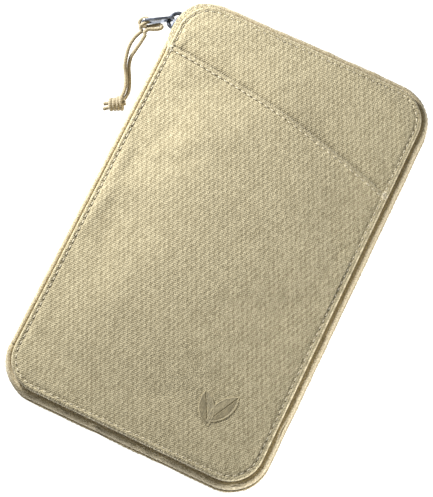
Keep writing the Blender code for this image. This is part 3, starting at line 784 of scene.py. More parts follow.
def swell_by_cloth():
    """Lets a sheet held along its seam swell under a light pressure, and keeps its height as a grid.
    """
    nx, ny = SWELL_COLUMNS, SWELL_ROWS
    width, height = 2 * (HALF_W - 2 * MM), 2 * (HALF_H - 2 * MM)
    bm = bmesh.new()
    bmesh.ops.create_grid(bm, x_segments=nx - 1, y_segments=ny - 1, size=0.5)
    bmesh.ops.scale(bm, vec=(width, height, 1), verts=bm.verts)
    mesh = bpy.data.meshes.new("swell")
    bm.to_mesh(mesh)
    bm.free()
    sheet = placed("swell", mesh)
    pin = sheet.vertex_groups.new(name="seam")
    for vert in mesh.vertices:
        x, y = abs(vert.co.x), abs(vert.co.y)
        corner = max(0.0, x - (HALF_W - CORNER)) ** 2 + max(0.0, y - (HALF_H - CORNER)) ** 2
        if x > width / 2 - MM or y > height / 2 - MM or corner > (CORNER - 2.5 * MM) ** 2:
            pin.add([vert.index], 1.0, 'REPLACE')
    mod = sheet.modifiers.new("Cloth", 'CLOTH')
    mod.settings.vertex_group_mass = "seam"
    mod.settings.quality = 6
    mod.settings.mass = 0.25
    mod.settings.tension_stiffness = 12
    mod.settings.compression_stiffness = 12
    mod.settings.bending_stiffness = 0.4
    mod.settings.use_pressure = True
    mod.settings.uniform_pressure_force = 0.35
    mod.settings.shrink_min = -0.012
    mod.settings.effector_weights.gravity = 0.0
    for step in range(1, SWELL_FRAMES + 1):
        bpy.context.scene.frame_set(step)
    settle(sheet)
    bpy.context.scene.frame_set(1)
    z = np.array([v.co.z for v in sheet.data.vertices])
    xy = np.array([(v.co.x, v.co.y) for v in sheet.data.vertices])
    col = np.rint((xy[:, 0] / width + 0.5) * (nx - 1)).astype(int).clip(0, nx - 1)
    row = np.rint((xy[:, 1] / height + 0.5) * (ny - 1)).astype(int).clip(0, ny - 1)
    grid = np.zeros((ny, nx))
    grid[row, col] = z
    peak = max(grid.max(), 1e-9)
    if peak < 1e-6:
        for j in range(ny):
            for i in range(nx):
                grid[j, i] = crown_share((i / (nx - 1) - 0.5) * width, (j / (ny - 1) - 0.5) * height)
        peak = 1.0
    SWELL["grid"] = grid / peak
    SWELL["size"] = (width, height)
    bpy.data.objects.remove(sheet, do_unlink=True)


def swell(x, y):
    """Share of the full swell at a place, from about 0 at the seam to about 1."""
    grid = SWELL["grid"]
    width, height = SWELL["size"]
    ny, nx = grid.shape
    u = min(max((x / width + 0.5) * (nx - 1), 0), nx - 1.001)
    v = min(max((y / height + 0.5) * (ny - 1), 0), ny - 1.001)
    i, j = int(u), int(v)
    a, b = u - i, v - j
    top = grid[j + 1, i] * (1 - a) + grid[j + 1, i + 1] * a
    low = grid[j, i] * (1 - a) + grid[j, i + 1] * a
    share = low * (1 - b) + top * b
    return float(CROWN_SHARE * crown_share(x, y) + CLOTH_SHARE * max(LOWEST_SINK, share))


# ------------------------------------------------------------------ panels
def panel_relief(x, y, d):
    """What every face panel has: rolled edge, sunk seam, swell and soft dents."""
    sizes = cloth()
    inner = min(1.0, max(0.0, (d - sizes.seam_inset) / (9 * MM)))
    lift = sizes.crown * swell(x, y) + dent(x, y) * inner
    lift = max(lift, 0.5 * MM * inner)
    lift += 0.12 * MM * soft_noise(x, y, 55) * inner
    pucker = 0.08 * MM * soft_noise(x, y, 420, 3.0) * np.exp(-((d - sizes.seam_inset) / (1.8 * MM)) ** 2)
    dip = seam_dip(d, sizes.seam_inset, 0.35 * MM, 0.55 * MM)
    rim = band(d, sizes.seam_inset * 1.05, 0.25 * MM)
    return float(lift + pucker + dip + rim - edge_drop(d, sizes.edge_roll))


def make_front_cloth():
    """The whole front panel; it shows above the pocket's mouth."""
    top = BASE_HIGH.z
    sizes = cloth()
    outline = rounded_outline((-HALF_W, -HALF_H), (HALF_W, HALF_H), CORNER, 1.3 * MM)

    def height(x, y, d):
        under = 1.0 / (1.0 + np.exp(-(mouth(x) + 1.3 * MM - y) / (0.45 * MM)))
        slope = 1.0 / (1.0 + np.exp(-(mouth(x) + 5 * MM - y) / (2.6 * MM)))
        return float(top + panel_relief(x, y, d) - (1.5 * under + 0.5 * slope) * MM * min(1.0, d / (7 * MM)))

    creases = np.array([(x, mouth(x) + rise * MM) for x in np.arange(-HALF_W, HALF_W, 0.8 * MM)
                        for rise in (0.1, 0.6, 1.1, 1.6, 2.1, 2.8)])
    thick = BASE_HIGH.z - BASE_LOW.z - 0.1 * MM
    made = cloth_panel("front_cloth", outline, height, thick, "face", sizes.grid, creases)
    finished(made, "front_half", "cloth", "front_panel")
    return made


def pocket_ring(step):
    """The pocket's outline: down the left side, round the bottom and up to the mouth again."""
    ax, ay = HALF_W - CORNER, HALF_H - CORNER
    steps = 40
    top = [(x, mouth(x)) for x in (HALF_W - 2 * HALF_W * i / steps for i in range(steps + 1))]
    low = arc_points(-ax, -ay, CORNER, 180, 270, 16) + arc_points(ax, -ay, CORNER, 270, 360, 16)
    ring = top + low
    return spread(ring + ring[:1], step)[:-1]


def make_pocket_cloth():
    """The slip pocket with its turned, stitched mouth."""
    top = POCKET_HIGH.z
    sizes = cloth()
    outline = pocket_ring(1.3 * MM)

    def height(x, y, d):
        slope = (MOUTH_RIGHT - MOUTH_LEFT) / (2 * HALF_W) - 2 * MOUTH_BOW * x / HALF_W ** 2
        from_mouth = max(0.0, (mouth(x) - y) / sqrt(1 + slope * slope))
        side = HALF_W - abs(x)
        relief = panel_relief(x, y, d if from_mouth > 12 * MM else side)
        hem = 1.0 / (1.0 + np.exp((from_mouth - HEM_DEPTH * 0.92) / (0.3 * MM)))
        lip = band(from_mouth, sizes.seam_inset * 1.3, 0.6 * MM)
        away = min(1.0, side / (9 * MM))
        gape = 0.7 * MM * away * np.exp(-(from_mouth / (9 * MM)) ** 2)
        dip = seam_dip(from_mouth, sizes.seam_inset * 1.15, 0.4 * MM, 0.5 * MM) * away
        roll = edge_drop(from_mouth, 0.35 * MM)
        waves = 0.12 * MM * soft_noise(x, y, 130, 7.0) * np.exp(-(from_mouth / (6 * MM)) ** 2) * away
        return float(top + relief + 0.2 * MM * hem + lip + gape + dip - roll + waves)

    made = cloth_panel("pocket_cloth", outline, height, POCKET_HIGH.z - POCKET_LOW.z, "face", sizes.grid)
    finished(made, "front_half", "cloth", "pocket_panel", "pocket_hem")
    return made


def make_back_cloth():
    """The back panel: the same cloth, lying on the table."""
    sizes = cloth()
    outline = rounded_outline((-HALF_W, -HALF_H), (HALF_W, HALF_H), CORNER, 1.5 * MM)
    thick = PANEL_HIGH.z - PANEL_LOW.z

    def height(x, y, d):
        dip = seam_dip(d, sizes.seam_inset, 0.25 * MM, 0.7 * MM)
        return float(thick + dip - edge_drop(d, 0.9 * MM))

    made = cloth_panel("back_cloth", outline, height, thick, "face", 2.4 * MM)
    turned_over(made, thick)
    low = min(vert.co.z for vert in made.data.vertices)
    for vert in made.data.vertices:
        vert.co.z -= low
    finished(made, "back_half", "cloth", "back_panel")
    return made


# Pieces that later ones are sewn onto.
PIECES = {}


class WALLET_OT_panels(bpy.types.Operator):
    """Sews the front panel, its slip pocket and the back panel."""
    bl_idname = "wallet.panels"
    bl_label = "Panels"

    def execute(self, context):
        swell_by_cloth()
        PIECES["front"] = make_front_cloth()
        PIECES["pocket"] = make_pocket_cloth()
        PIECES["back"] = make_back_cloth()
        return {'FINISHED'}


# ------------------------------------------------------------------ side wall, spine and tapes
# Angle round the top left corner, in degrees, where the front strip of the zip ends.
NOTCH_END = 180.0 - 34.0
# Puckers in the wall: (distance along the wall, width, depth), in millimetres.
PUCKERS = ((60.0, 3.0, 0.55), (127.0, 2.4, 0.75), (24.0, 5.0, 0.4), (160.0, 5.0, 0.5), (210.0, 3.0, 0.3),
           (333.0, 4.0, 0.3), (372.0, 4.0, 0.4), (470.0, 5.0, 0.35), (96.0, 4.0, 0.3))


def wall_waves(run):
    """Outward ripple of the wall at a distance along it."""
    total = 0.3 * MM * noise.noise(Vector((run * 60, 2.0, 0.0)))
    total += 0.22 * MM * noise.noise(Vector((run * 210, 5.0, 0.0)))
    for place, width, depth in PUCKERS:
        total -= depth * MM * np.exp(-((run / MM - place) / width) ** 2)
    return float(total)


# The wall's section from the panel's underside out to the zip: (out from the panel's edge, distance along Z
# from the panel), in millimetres. It sinks beside the panel's rim, then puffs out.
WALL_PROFILE = (
    (-0.75, 0.0), (-0.55, 1.1), (0.05, 1.65), (0.5, 1.35), (1.1, 0.85), (1.8, 0.75), (2.5, 1.1), (3.0, 1.75),
    (3.25, 2.7), (3.3, 3.9),
)
# The same for the wall's inner face, from the zip back to the panel.
WALL_INSIDE = ((2.75, 3.9), (2.4, 3.0), (0.3, 3.15), (-0.85, 2.6), (-1.1, 0.0))


# How many steps the outer face of the wall and of the spine take, and the step that the tape's seam is on.
WALL_STEPS = 26
SPINE_STEPS = 18
TAPE_SEAM = 22


def profile_points(steps):
    """The wall's outer face, smoothed and fitted to the frame's own wall."""
    wide = BULGE / (WALL_PROFILE[-1][0] * MM)
    tall = (WALL_HIGH.z - WALL_LOW.z) / (WALL_PROFILE[-1][1] * MM)
    line = smooth_line([(o * MM * wide, u * MM * tall, 0.0) for o, u in WALL_PROFILE], 0.01 * MM)
    return [line[int(round((len(line) - 1) * i / steps))] for i in range(steps + 1)]


def wall_section(flip):
    """Closed section of the wall: outer face from under the panel to a turned edge, then back inside."""
    foot, top = WALL_LOW.z, WALL_HIGH.z
    face = profile_points(WALL_STEPS)
    tall = (top - foot) / (WALL_PROFILE[-1][1] * MM)

    def section(run):
        wave = wall_waves(run)
        outer = []
        for o, u, _ in face:
            share = max(0.0, min(1.0, (o - 0.4 * MM) / (1.6 * MM)))
            share *= 1.0 if u < top - foot - 1.2 * MM else 0.25
            outer.append((o + wave * share, foot + u - 0.8 * wave * share * (o < 2.6 * MM)))
        fold = [(BULGE - 0.04 * MM, top + 0.14 * MM), (BULGE - 0.25 * MM, top + 0.22 * MM),
                (BULGE - 0.45 * MM, top + 0.12 * MM)]
        inner = [(o * MM, foot + u * MM * tall) for o, u in WALL_INSIDE]
        ring = outer + fold + inner
        if flip:
            ring = [(o, THICK - u) for o, u in ring]
        return ring
    return section


def tape_section(flip):
    """Closed section of the zip tape, a thin strip with a soft edge."""
    outer = TAPE_HIGH.x - HALF_W
    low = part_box("zip_tape_back")[0].z
    high = MID_Z - 0.12 * MM
    thin = 0.4 * MM

    def section(run):
        rows = 6
        wave = 0.05 * MM * noise.noise(Vector((run * 90, 9.0, 0.0)))
        face = [(outer + wave, low + (high - low) * i / rows) for i in range(rows + 1)]
        lip = [(outer - thin * 0.5, high + 0.05 * MM)]
        inner = [(o - thin, u) for o, u in face[::-1]]
        ring = face + lip + inner
        return [(o, THICK - u) for o, u in ring] if flip else ring
    return section


def make_walls():
    for half, flip, last in (("back", False, 180.0), ("front", True, NOTCH_END)):
        body = half + "_half"
        path = wall_path(180.0, last)
        made = swept("wall_cloth_" + half, path, wall_section(flip), "web")
        PIECES["wall_" + half] = finished(made, body, "webbing", "side_wall_" + half)
        tape = swept("tape_" + half, path, tape_section(flip), "tape")
        finished(tape, body, "zip", "zip_tape_" + half)


def spine_section():
    """Closed section of the whole spine, from one panel to the other."""
    foot = WALL_LOW.z
    face = profile_points(SPINE_STEPS)

    def section(run):
        wave = 0.18 * MM * noise.noise(Vector((run * 55, 14.0, 0.0)))
        outer = []
        for o, u, _ in face:
            outer.append((o + wave * max(0.0, o) / BULGE, foot + u))
        outer += [(o, THICK - u) for o, u in outer[::-1]]
        inside = [(o * MM, foot + u * MM) for o, u in WALL_INSIDE]
        return outer + [(o, THICK - u) for o, u in inside[::-1]] + inside
    return section


def make_spine():
    """One strip of cloth down the left side, from one panel to the other."""
    reach = HALF_H - CORNER + 0.1 * MM
    path = side_path(-reach, reach)
    made = swept("spine_cloth", path, spine_section(), "web")
    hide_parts("spine_back", "spine_front")
    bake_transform(made)


def flap_line(first):
    """Round the top left corner from an angle and down the side to the pocket's mouth."""
    ax, ay = HALF_W - CORNER, HALF_H - CORNER
    line = corner_rows(-ax, ay, first, 180.0, 24)
    line += [(-HALF_W, y, -1.0, 0.0) for y in np.linspace(ay - 1 * MM, mouth(-HALF_W) - 2 * MM, 6)]
    return frames_from(line, 1.2 * MM)


def flap_reach(run, end):
    """How far the flap stands out from the panel's edge; it runs out at both ends."""
    return 0.2 * MM + 2.4 * MM * min(1.0, run / (9 * MM), (end - run) / (7 * MM))


def cover_flap():
    """The flap that guards the parked slider."""
    path = flap_line(96.0)
    end = path[-1][3]
    high = BASE_LOW.z + 0.95 * MM

    def flap(run):
        reach = flap_reach(run, end)
        wave = 0.12 * MM * noise.noise(Vector((run * 160, 21.0, 0.0)))
        return [
            (-1.3 * MM, high - 0.25 * MM), (-0.2 * MM, high + 0.15 * MM),
            (reach * 0.35, high + 0.1 * MM + wave), (reach * 0.55, high - 0.22 * MM + wave),
            (reach * 0.78, high - 0.1 * MM + wave), (reach, high - 0.35 * MM),
            (reach + 0.12 * MM, high - 0.75 * MM), (reach - 0.1 * MM, high - 1.1 * MM),
            (reach * 0.5, high - 1.2 * MM), (-1.3 * MM, high - 1.0 * MM),
        ]
    finished(swept("cover_flap", path, flap, "face"), "front_half", "cloth")
    line = [point + out * flap_reach(run, end) * 0.55
            + up * (high - 0.2 * MM) for point, out, up, run in path[3:-2]]
    sew("flap_stitches", [line], "front_half", scale=0.9)


def corner_wall():
    """The short wall behind the flap, where the front strip of the zip is left out."""
    line = corner_rows(CORNER - HALF_W, HALF_H - CORNER, NOTCH_END + 0.4, 180.0, 16)
    foot, top = BASE_LOW.z, MID_Z + 3.4 * MM
    guard = [
        (-0.9 * MM, foot - 0.3 * MM), (1.1 * MM, foot - 1.2 * MM), (1.5 * MM, top),
        (1.1 * MM, top), (0.7 * MM, foot - 1.4 * MM), (-0.9 * MM, foot - 0.8 * MM),
    ]
    made = swept("corner_wall", frames_from(line, 1.2 * MM), lambda run: guard, "web")
    finished(made, "front_half", "webbing")


class WALLET_OT_walls(bpy.types.Operator):
    """Sews the side walls, the zip tapes, the spine and the flap over the parked slider."""
    bl_idname = "wallet.walls"
    bl_label = "Walls and spine"

    def execute(self, context):
        make_walls()
        make_spine()
        cover_flap()
        corner_wall()
        return {'FINISHED'}


# ------------------------------------------------------------------ stitches by Geometry Nodes
def geometry_tree(name, inputs):
    tree = bpy.data.node_groups.new(name, 'GeometryNodeTree')
    tree.interface.new_socket(name="Geometry", in_out='INPUT', socket_type='NodeSocketGeometry')
    ids = {}
    for label, kind in inputs:
        ids[label] = tree.interface.new_socket(name=label, in_out='INPUT', socket_type=kind).identifier
    tree.interface.new_socket(name="Geometry", in_out='OUTPUT', socket_type='NodeSocketGeometry')
    return tree, ids, tree.nodes.new('NodeGroupInput'), tree.nodes.new('NodeGroupOutput')


def add_node(tree, kind, links=(), **settings):
    node = tree.nodes.new(kind)
    for key, value in settings.items():
        setattr(node, key, value)
    for name, source in links:
        if hasattr(source, "links"):
            tree.links.new(source, node.inputs[name])
        else:
            node.inputs[name].default_value = source
    return node


# Longer than any row of stitches, in metres, so that a row is only cut at its start.
LONGEST_LINE = 100.0


def bead_row(tree, curve, pitch, size, material, segments, rings):
    """Round beads set along a curve and turned to lie along it."""
    even = add_node(tree, 'GeometryNodeResampleCurve', [("Curve", curve), ("Length", pitch)], mode='LENGTH')
    tangent = tree.nodes.new('GeometryNodeInputTangent')
    turn = add_node(tree, 'FunctionNodeAlignRotationToVector', [("Vector", tangent.outputs[0])], axis='X')
    bead = add_node(tree, 'GeometryNodeMeshUVSphere',
                    [("Segments", segments), ("Rings", rings), ("Radius", 1.0)])
    scale = add_node(tree, 'ShaderNodeCombineXYZ', list(enumerate(size)))
    place = add_node(tree, 'GeometryNodeInstanceOnPoints', [
        ("Points", even.outputs[0]), ("Instance", bead.outputs[0]), ("Rotation", turn.outputs[0]),
        ("Scale", scale.outputs[0])])
    real = add_node(tree, 'GeometryNodeRealizeInstances', [("Geometry", place.outputs[0])])
    paint = add_node(tree, 'GeometryNodeSetMaterial', [("Geometry", real.outputs[0]), ("Material", material)])
    return paint.outputs[0]


def stitch_tree():
    """Thread between needle holes, with a dark bead of painted shade at each hole, all along the edges of a
    mesh line.
    """
    tree, ids, start, end = geometry_tree("stitch_row", [
        ("Pitch", 'NodeSocketFloat'), ("Length", 'NodeSocketFloat'), ("Radius", 'NodeSocketFloat'),
        ("Hole", 'NodeSocketFloat'), ("Thread", 'NodeSocketMaterial'), ("Shade", 'NodeSocketMaterial')])
    out = start.outputs
    line = add_node(tree, 'GeometryNodeMeshToCurve', [("Mesh", out["Geometry"])])
    join = tree.nodes.new('GeometryNodeJoinGeometry')
    half_pitch, half_length = (
        add_node(tree, 'ShaderNodeMath', [(0, out[label]), (1, 0.5)], operation='MULTIPLY').outputs[0]
        for label in ("Pitch", "Length"))
    thread = (half_length, out["Radius"], out["Radius"])
    # The Shade beads at each needle hole are painted shade: dark dots set between the threads.
    hole = (out["Hole"], out["Hole"], out["Hole"])
    for shift, size, finish in ((half_pitch, thread, "Thread"), (0.0, hole, "Shade")):
        trim = add_node(tree, 'GeometryNodeTrimCurve',
                        [("Curve", line.outputs[0]), (4, shift), (5, LONGEST_LINE)], mode='LENGTH')
        row = bead_row(tree, trim.outputs[0], out["Pitch"], size, out[finish], 6, 5)
        tree.links.new(row, join.inputs[0])
    smooth = add_node(tree, 'GeometryNodeSetShadeSmooth', [("Geometry", join.outputs[0])])
    tree.links.new(smooth.outputs[0], end.inputs[0])
    return tree, ids


def line_object(name, lines):
    """A mesh of plain edges, one chain for each line of points."""
    mesh = bpy.data.meshes.new(name)
    verts, edges = [], []
    for line in lines:
        first = len(verts)
        verts += [tuple(p) for p in line]
        edges += [(first + i, first + i + 1) for i in range(len(line) - 1)]
    mesh.from_pydata(verts, edges, [])
    return placed(name, mesh)


def run_tree(made, tree, ids, values):
    """Runs a Geometry Nodes tree on a line and keeps the plain mesh it makes."""
    mod = made.modifiers.new("Beads", 'NODES')
    mod.node_group = tree
    for name, value in values.items():
        mod[ids[name]] = value
    return settle(made)


TREES = {}


def sew(name, lines, body, scale=1.0, pitch=None, hole=1.05):
    """Rows of stitches along lines of points, with a bead of painted shade at each needle hole."""
    if "stitch" not in TREES:
        TREES["stitch"] = stitch_tree()
    tree, ids = TREES["stitch"]
    sizes = cloth()
    step = pitch or sizes.stitch_pitch
    share = step / sizes.stitch_pitch
    made = run_tree(line_object(name, lines), tree, ids, {
        "Pitch": step, "Length": sizes.stitch_length * share, "Radius": sizes.thread_radius * scale,
        "Hole": sizes.thread_radius * hole * scale, "Thread": FINISH["thread"], "Shade": FINISH["hole"]})
    return finished(made, body, "thread")


def dropped(points, drop, lift, down=True):
    """Points laid onto a surface, lifted a little off it."""
    line = []
    for x, y in points:
        z = drop(x, y, down)
        if z is not None:
            line.append((x, y, z + (lift if down else -lift)))
    return line


def inset_ring(inset, step=0.8 * MM):
    wide, tall = HALF_W - inset, HALF_H - inset
    return rounded_outline((-wide, -tall), (wide, tall), CORNER - inset, step)


def stitch_panels():
    sizes = cloth()
    ring = inset_ring(sizes.seam_inset)
    ring.append(ring[0])
    pocket = surface_of(PIECES["pocket"])
    front = surface_of(PIECES["front"])
    above = [p for p in ring if p[1] > mouth(p[0]) + 0.8 * MM]
    below = [p for p in ring if p[1] < mouth(p[0]) - 0.6 * MM]
    lines = [dropped(part, front, 0.02 * MM) for part in broken(above)]
    lines += [dropped(part, pocket, 0.02 * MM) for part in broken(below)]
    xs = np.linspace(-HALF_W + 1.2 * MM, HALF_W - 1.2 * MM, 220)
    hem = [(x, mouth(x) - sizes.seam_inset) for x in xs]
    lines.append(dropped(hem, pocket, 0.03 * MM))
    sew("front_stitches", lines, "front_half")
    back = surface_of(PIECES["back"])
    sew("back_stitches", [dropped(ring, back, 0.0, down=False)], "back_half", scale=0.8)


def broken(points, jump=3.0 * MM):
    """Splits a chain of points where two neighbours lie far apart."""
    parts = [[points[0]]]
    for a, b in zip(points, points[1:]):
        if (a[0] - b[0]) ** 2 + (a[1] - b[1]) ** 2 > jump * jump:
            parts.append([])
        parts[-1].append(b)
    return [part for part in parts if len(part) > 3]


def stitch_walls():
    """The row that holds each zip tape to the wall."""
    for half, flip, last in (("back", False, 179.0), ("front", True, NOTCH_END - 1)):
        section = wall_section(flip)
        line = []
        for point, out, up, run in wall_path(180.0, last, 1.0 * MM):
            o, u = section(run)[TAPE_SEAM]
            line.append(point + out * (o + 0.02 * MM) + up * u)
        sew("wall_stitches_" + half, [line], half + "_half", scale=0.6, pitch=2.4 * MM, hole=0.7)


def make_tacks():
    """Close zigzags of thread that hold the ends of the pocket's mouth."""
    pocket = surface_of(PIECES["pocket"])
    front = surface_of(PIECES["front"])
    for name, side, node in (("tack_left", -1, "bar_tack_left"), ("tack_right", 1, "bar_tack_right")):
        x = side * (HALF_W - 2.0 * MM)
        line = []
        turns = 9
        for i in range(turns + 1):
            y = mouth(x) + 1.6 * MM - 4.2 * MM * i / turns
            px = x + (0.75 * MM if i % 2 else -0.75 * MM)
            z = max(v for v in (pocket(px, y), front(px, y), 0.0) if v is not None)
            line.append((px, y, z + 0.1 * MM))
        made = tube_mesh(name, spread(line, 0.4 * MM), 0.22 * MM, "thread", sides=6)
        finished(made, "front_half", "thread", node)


class WALLET_OT_stitches(bpy.types.Operator):
    """Sews the rows of stitches and the bar tacks."""
    bl_idname = "wallet.stitches"
    bl_label = "Stitches"

    def execute(self, context):
        stitch_panels()
        stitch_walls()
        make_tacks()
        return {'FINISHED'}


# ------------------------------------------------------------------ tubes
def tube_mesh(name, points, radius, finish, sides=12, bump=None, uv_along=None, flat=1.0):
    """A closed tube along points. bump(turn, run) adds to its radius."""
    places = [Vector(p) for p in points]
    bm = bmesh.new()
    rows, uv = [], []
    tangent = (places[1] - places[0]).normalized()
    side = tangent.orthogonal().normalized()
    run = 0.0
    pitch = uv_along or 1.0
    for i, place in enumerate(places):
        ahead = places[min(i + 1, len(places) - 1)] - places[max(i - 1, 0)]
        new = ahead.normalized()
        side = (side - new * side.dot(new)).normalized()
        other = new.cross(side)
        if i:
            run += (place - places[i - 1]).length
        row = []
        for k in range(sides):
            a = 2 * pi * k / sides
            r = radius + (bump(a, run) if bump else 0.0)
            row.append(bm.verts.new(place + side * r * cos(a) + other * r * flat * sin(a)))
            uv.append((4.0 * k / sides, run / pitch))
        rows.append(row)
    for one, two in zip(rows, rows[1:]):
        for k in range(sides):
            j = (k + 1) % sides
            bm.faces.new((one[k], one[j], two[j], two[k]))
    for row, place, way in ((rows[0], places[0], -1), (rows[-1], places[-1], 1)):
        ahead = (places[0] - places[1]) if way < 0 else (places[-1] - places[-2])
        tip = bm.verts.new(place + ahead.normalized() * radius * 0.45)
        uv.append((0.0, 0.0))
        for k in range(sides):
            j = (k + 1) % sides
            pair = (row[j], row[k]) if way < 0 else (row[k], row[j])
            bm.faces.new((*pair, tip))
    bmesh.ops.recalc_face_normals(bm, faces=bm.faces)
    return to_object(name, bm, finish, uv=uv)


def smooth_line(route, step):
    """Evenly spaced points of a smooth curve through a route."""
    places = [Vector(p) for p in route]
    ends = [2 * places[0] - places[1]] + places + [2 * places[-1] - places[-2]]
    fine = []
    for k in range(len(places) - 1):
        a, b, c, d = ends[k:k + 4]
        for i in range(12):
            t = i / 12
            fine.append(0.5 * (2 * b + (c - a) * t + (2 * a - 5 * b + 4 * c - d) * t * t
                               + (3 * b - a - 3 * c + d) * t ** 3))
    fine.append(places[-1])
    return spread([tuple(p) for p in fine], step)


# ------------------------------------------------------------------ zip coils
def coil_tree():
    """Turns of a nylon coil along the edges of a mesh line."""
    tree, ids, start, end = geometry_tree("zip_coil", [
        ("Pitch", 'NodeSocketFloat'), ("Thick", 'NodeSocketFloat'), ("Reach", 'NodeSocketFloat'),
        ("Tall", 'NodeSocketFloat'), ("Material", 'NodeSocketMaterial')])
    out = start.outputs
    line = add_node(tree, 'GeometryNodeMeshToCurve', [("Mesh", out["Geometry"])])
    size = [out[label] for label in ("Thick", "Reach", "Tall")]
    row = bead_row(tree, line.outputs[0], out["Pitch"], size, out["Material"], 8, 6)
    smooth = add_node(tree, 'GeometryNodeSetShadeSmooth', [("Geometry", row)])
    tree.links.new(smooth.outputs[0], end.inputs[0])
    return tree, ids


def coil(name, line, body, node, reach, tall):
    """One coil's turns along a line."""
    if "coil" not in TREES:
        TREES["coil"] = coil_tree()
    tree, ids = TREES["coil"]
    pitch = zip_sizes().tooth_pitch
    made = run_tree(line_object(name, [line]), tree, ids, {
        "Pitch": pitch, "Thick": pitch * 0.42, "Reach": reach, "Tall": tall, "Material": FINISH["coil"]})
    return finished(made, body, "zip", node)


class WALLET_OT_zip(bpy.types.Operator):
    """Sets the turns of both coils along the wall, and the coin pocket's coils."""
    bl_idname = "wallet.zip"
    bl_label = "Zip coils"

    def execute(self, context):
        coil_out = COIL_HIGH.x - HALF_W
        deep = 0.55 * MM
        tall = (COIL_HIGH.z - COIL_LOW.z) / 2
        middle = (COIL_LOW.z + COIL_HIGH.z) / 2
        for half, z, last in (("back", middle, 177.4), ("front", THICK - middle, NOTCH_END)):
            line = [point + out * (coil_out - deep) + up * z
                    for point, out, up, _ in wall_path(182.6, last, 1.0 * MM)]
            coil("coil_" + half, line, half + "_half", "zip_coil_" + half, deep, tall)
        for part in ("lower", "upper"):
            low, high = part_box("coin_zip_coil_" + part)
            y, z = (low.y + high.y) / 2, (low.z + high.z) / 2
            line = [(x, y, z) for x in np.linspace(low.x + 0.6 * MM, high.x - 0.6 * MM, 60)]
            coil("coin_coil_" + part, line, "front_half", "coin_zip_coil_" + part, (high.y - low.y) / 2,
                 (high.z - low.z) / 2)
        return {'FINISHED'}


# ------------------------------------------------------------------ slider, bail and tab
def loft(name, rings, finish):
    """A closed body through rings of points."""
    bm = bmesh.new()
    rows = [[bm.verts.new(p) for p in ring] for ring in rings]
    for one, two in zip(rows, rows[1:]):
        for j in range(len(one)):
            k = (j + 1) % len(one)
            bm.faces.new((one[j], one[k], two[k], two[j]))
    bm.faces.new(rows[0][::-1])
    bm.faces.new(rows[-1])
    bmesh.ops.recalc_face_normals(bm, faces=bm.faces)
    made = to_object(name, bm, finish)
    made.data.set_sharp_from_angle(angle=radians(40))
    return made


def round_box(half_a, half_b, radius, steps=3):
    """Corners of a rounded rectangle as (a, b) pairs."""
    radius = min(radius, half_a * 0.98, half_b * 0.98)
    ring = []
    for sa, sb, start in ((1, -1, 270), (1, 1, 0), (-1, 1, 90), (-1, -1, 180)):
        ring += arc_points(sa * (half_a - radius), sb * (half_b - radius), radius, start, start + 90, steps)
    return ring


def join_pieces(name, parts):
    """Several closed bodies as one object."""
    bm = bmesh.new()
    for part in parts:
        bm.from_mesh(part.data)
    material = parts[0].data.materials[0]
    for part in parts:
        bpy.data.objects.remove(part, do_unlink=True)
    mesh = bpy.data.meshes.new(name)
    bm.to_mesh(mesh)
    bm.free()
    mesh.materials.append(material)
    mesh.set_sharp_from_angle(angle=radians(40))
    return placed(name, mesh)


def slider_plate(place, reach, w_low, w_high, half_width, nose):
    """A slider's plate: broad at its shoulders, narrow at its tail, with rounded edges."""
    rings = []
    count = 18
    mid, half_t = (w_low + w_high) / 2, (w_high - w_low) / 2
    for i in range(count + 1):
        t = i / count
        u = -reach + 2 * reach * t
        end = min(t, 1 - t) * 2 * reach
        shoulder = 1.0 - 0.22 * (1 - t if nose > 0 else t)
        round_in = sqrt(max(0.0, 1 - (1 - min(1.0, end / (1.3 * MM))) ** 2))
        width = half_width * shoulder * (0.45 + 0.55 * round_in)
        thick = half_t * (0.5 + 0.5 * min(1.0, end / (0.35 * MM)))
        ring = [place(u, v, mid + w) for v, w in round_box(width, thick, 0.4 * MM)]
        rings.append(ring)
    return loft("plate", rings, "gunmetal")


def slider_bail(name, place, base, crown, span, wire):
    """An arched bail of flat-sided wire."""
    route = []
    for i in range(17):
        a = pi * i / 16
        u = -span * cos(a)
        w = base + (crown - base) * min(1.0, sin(a) ** 0.7)
        route.append(place(u, 0.0, w))
    return tube_mesh(name, spread([tuple(p) for p in route], 0.25 * MM), wire, "gunmetal", sides=12)


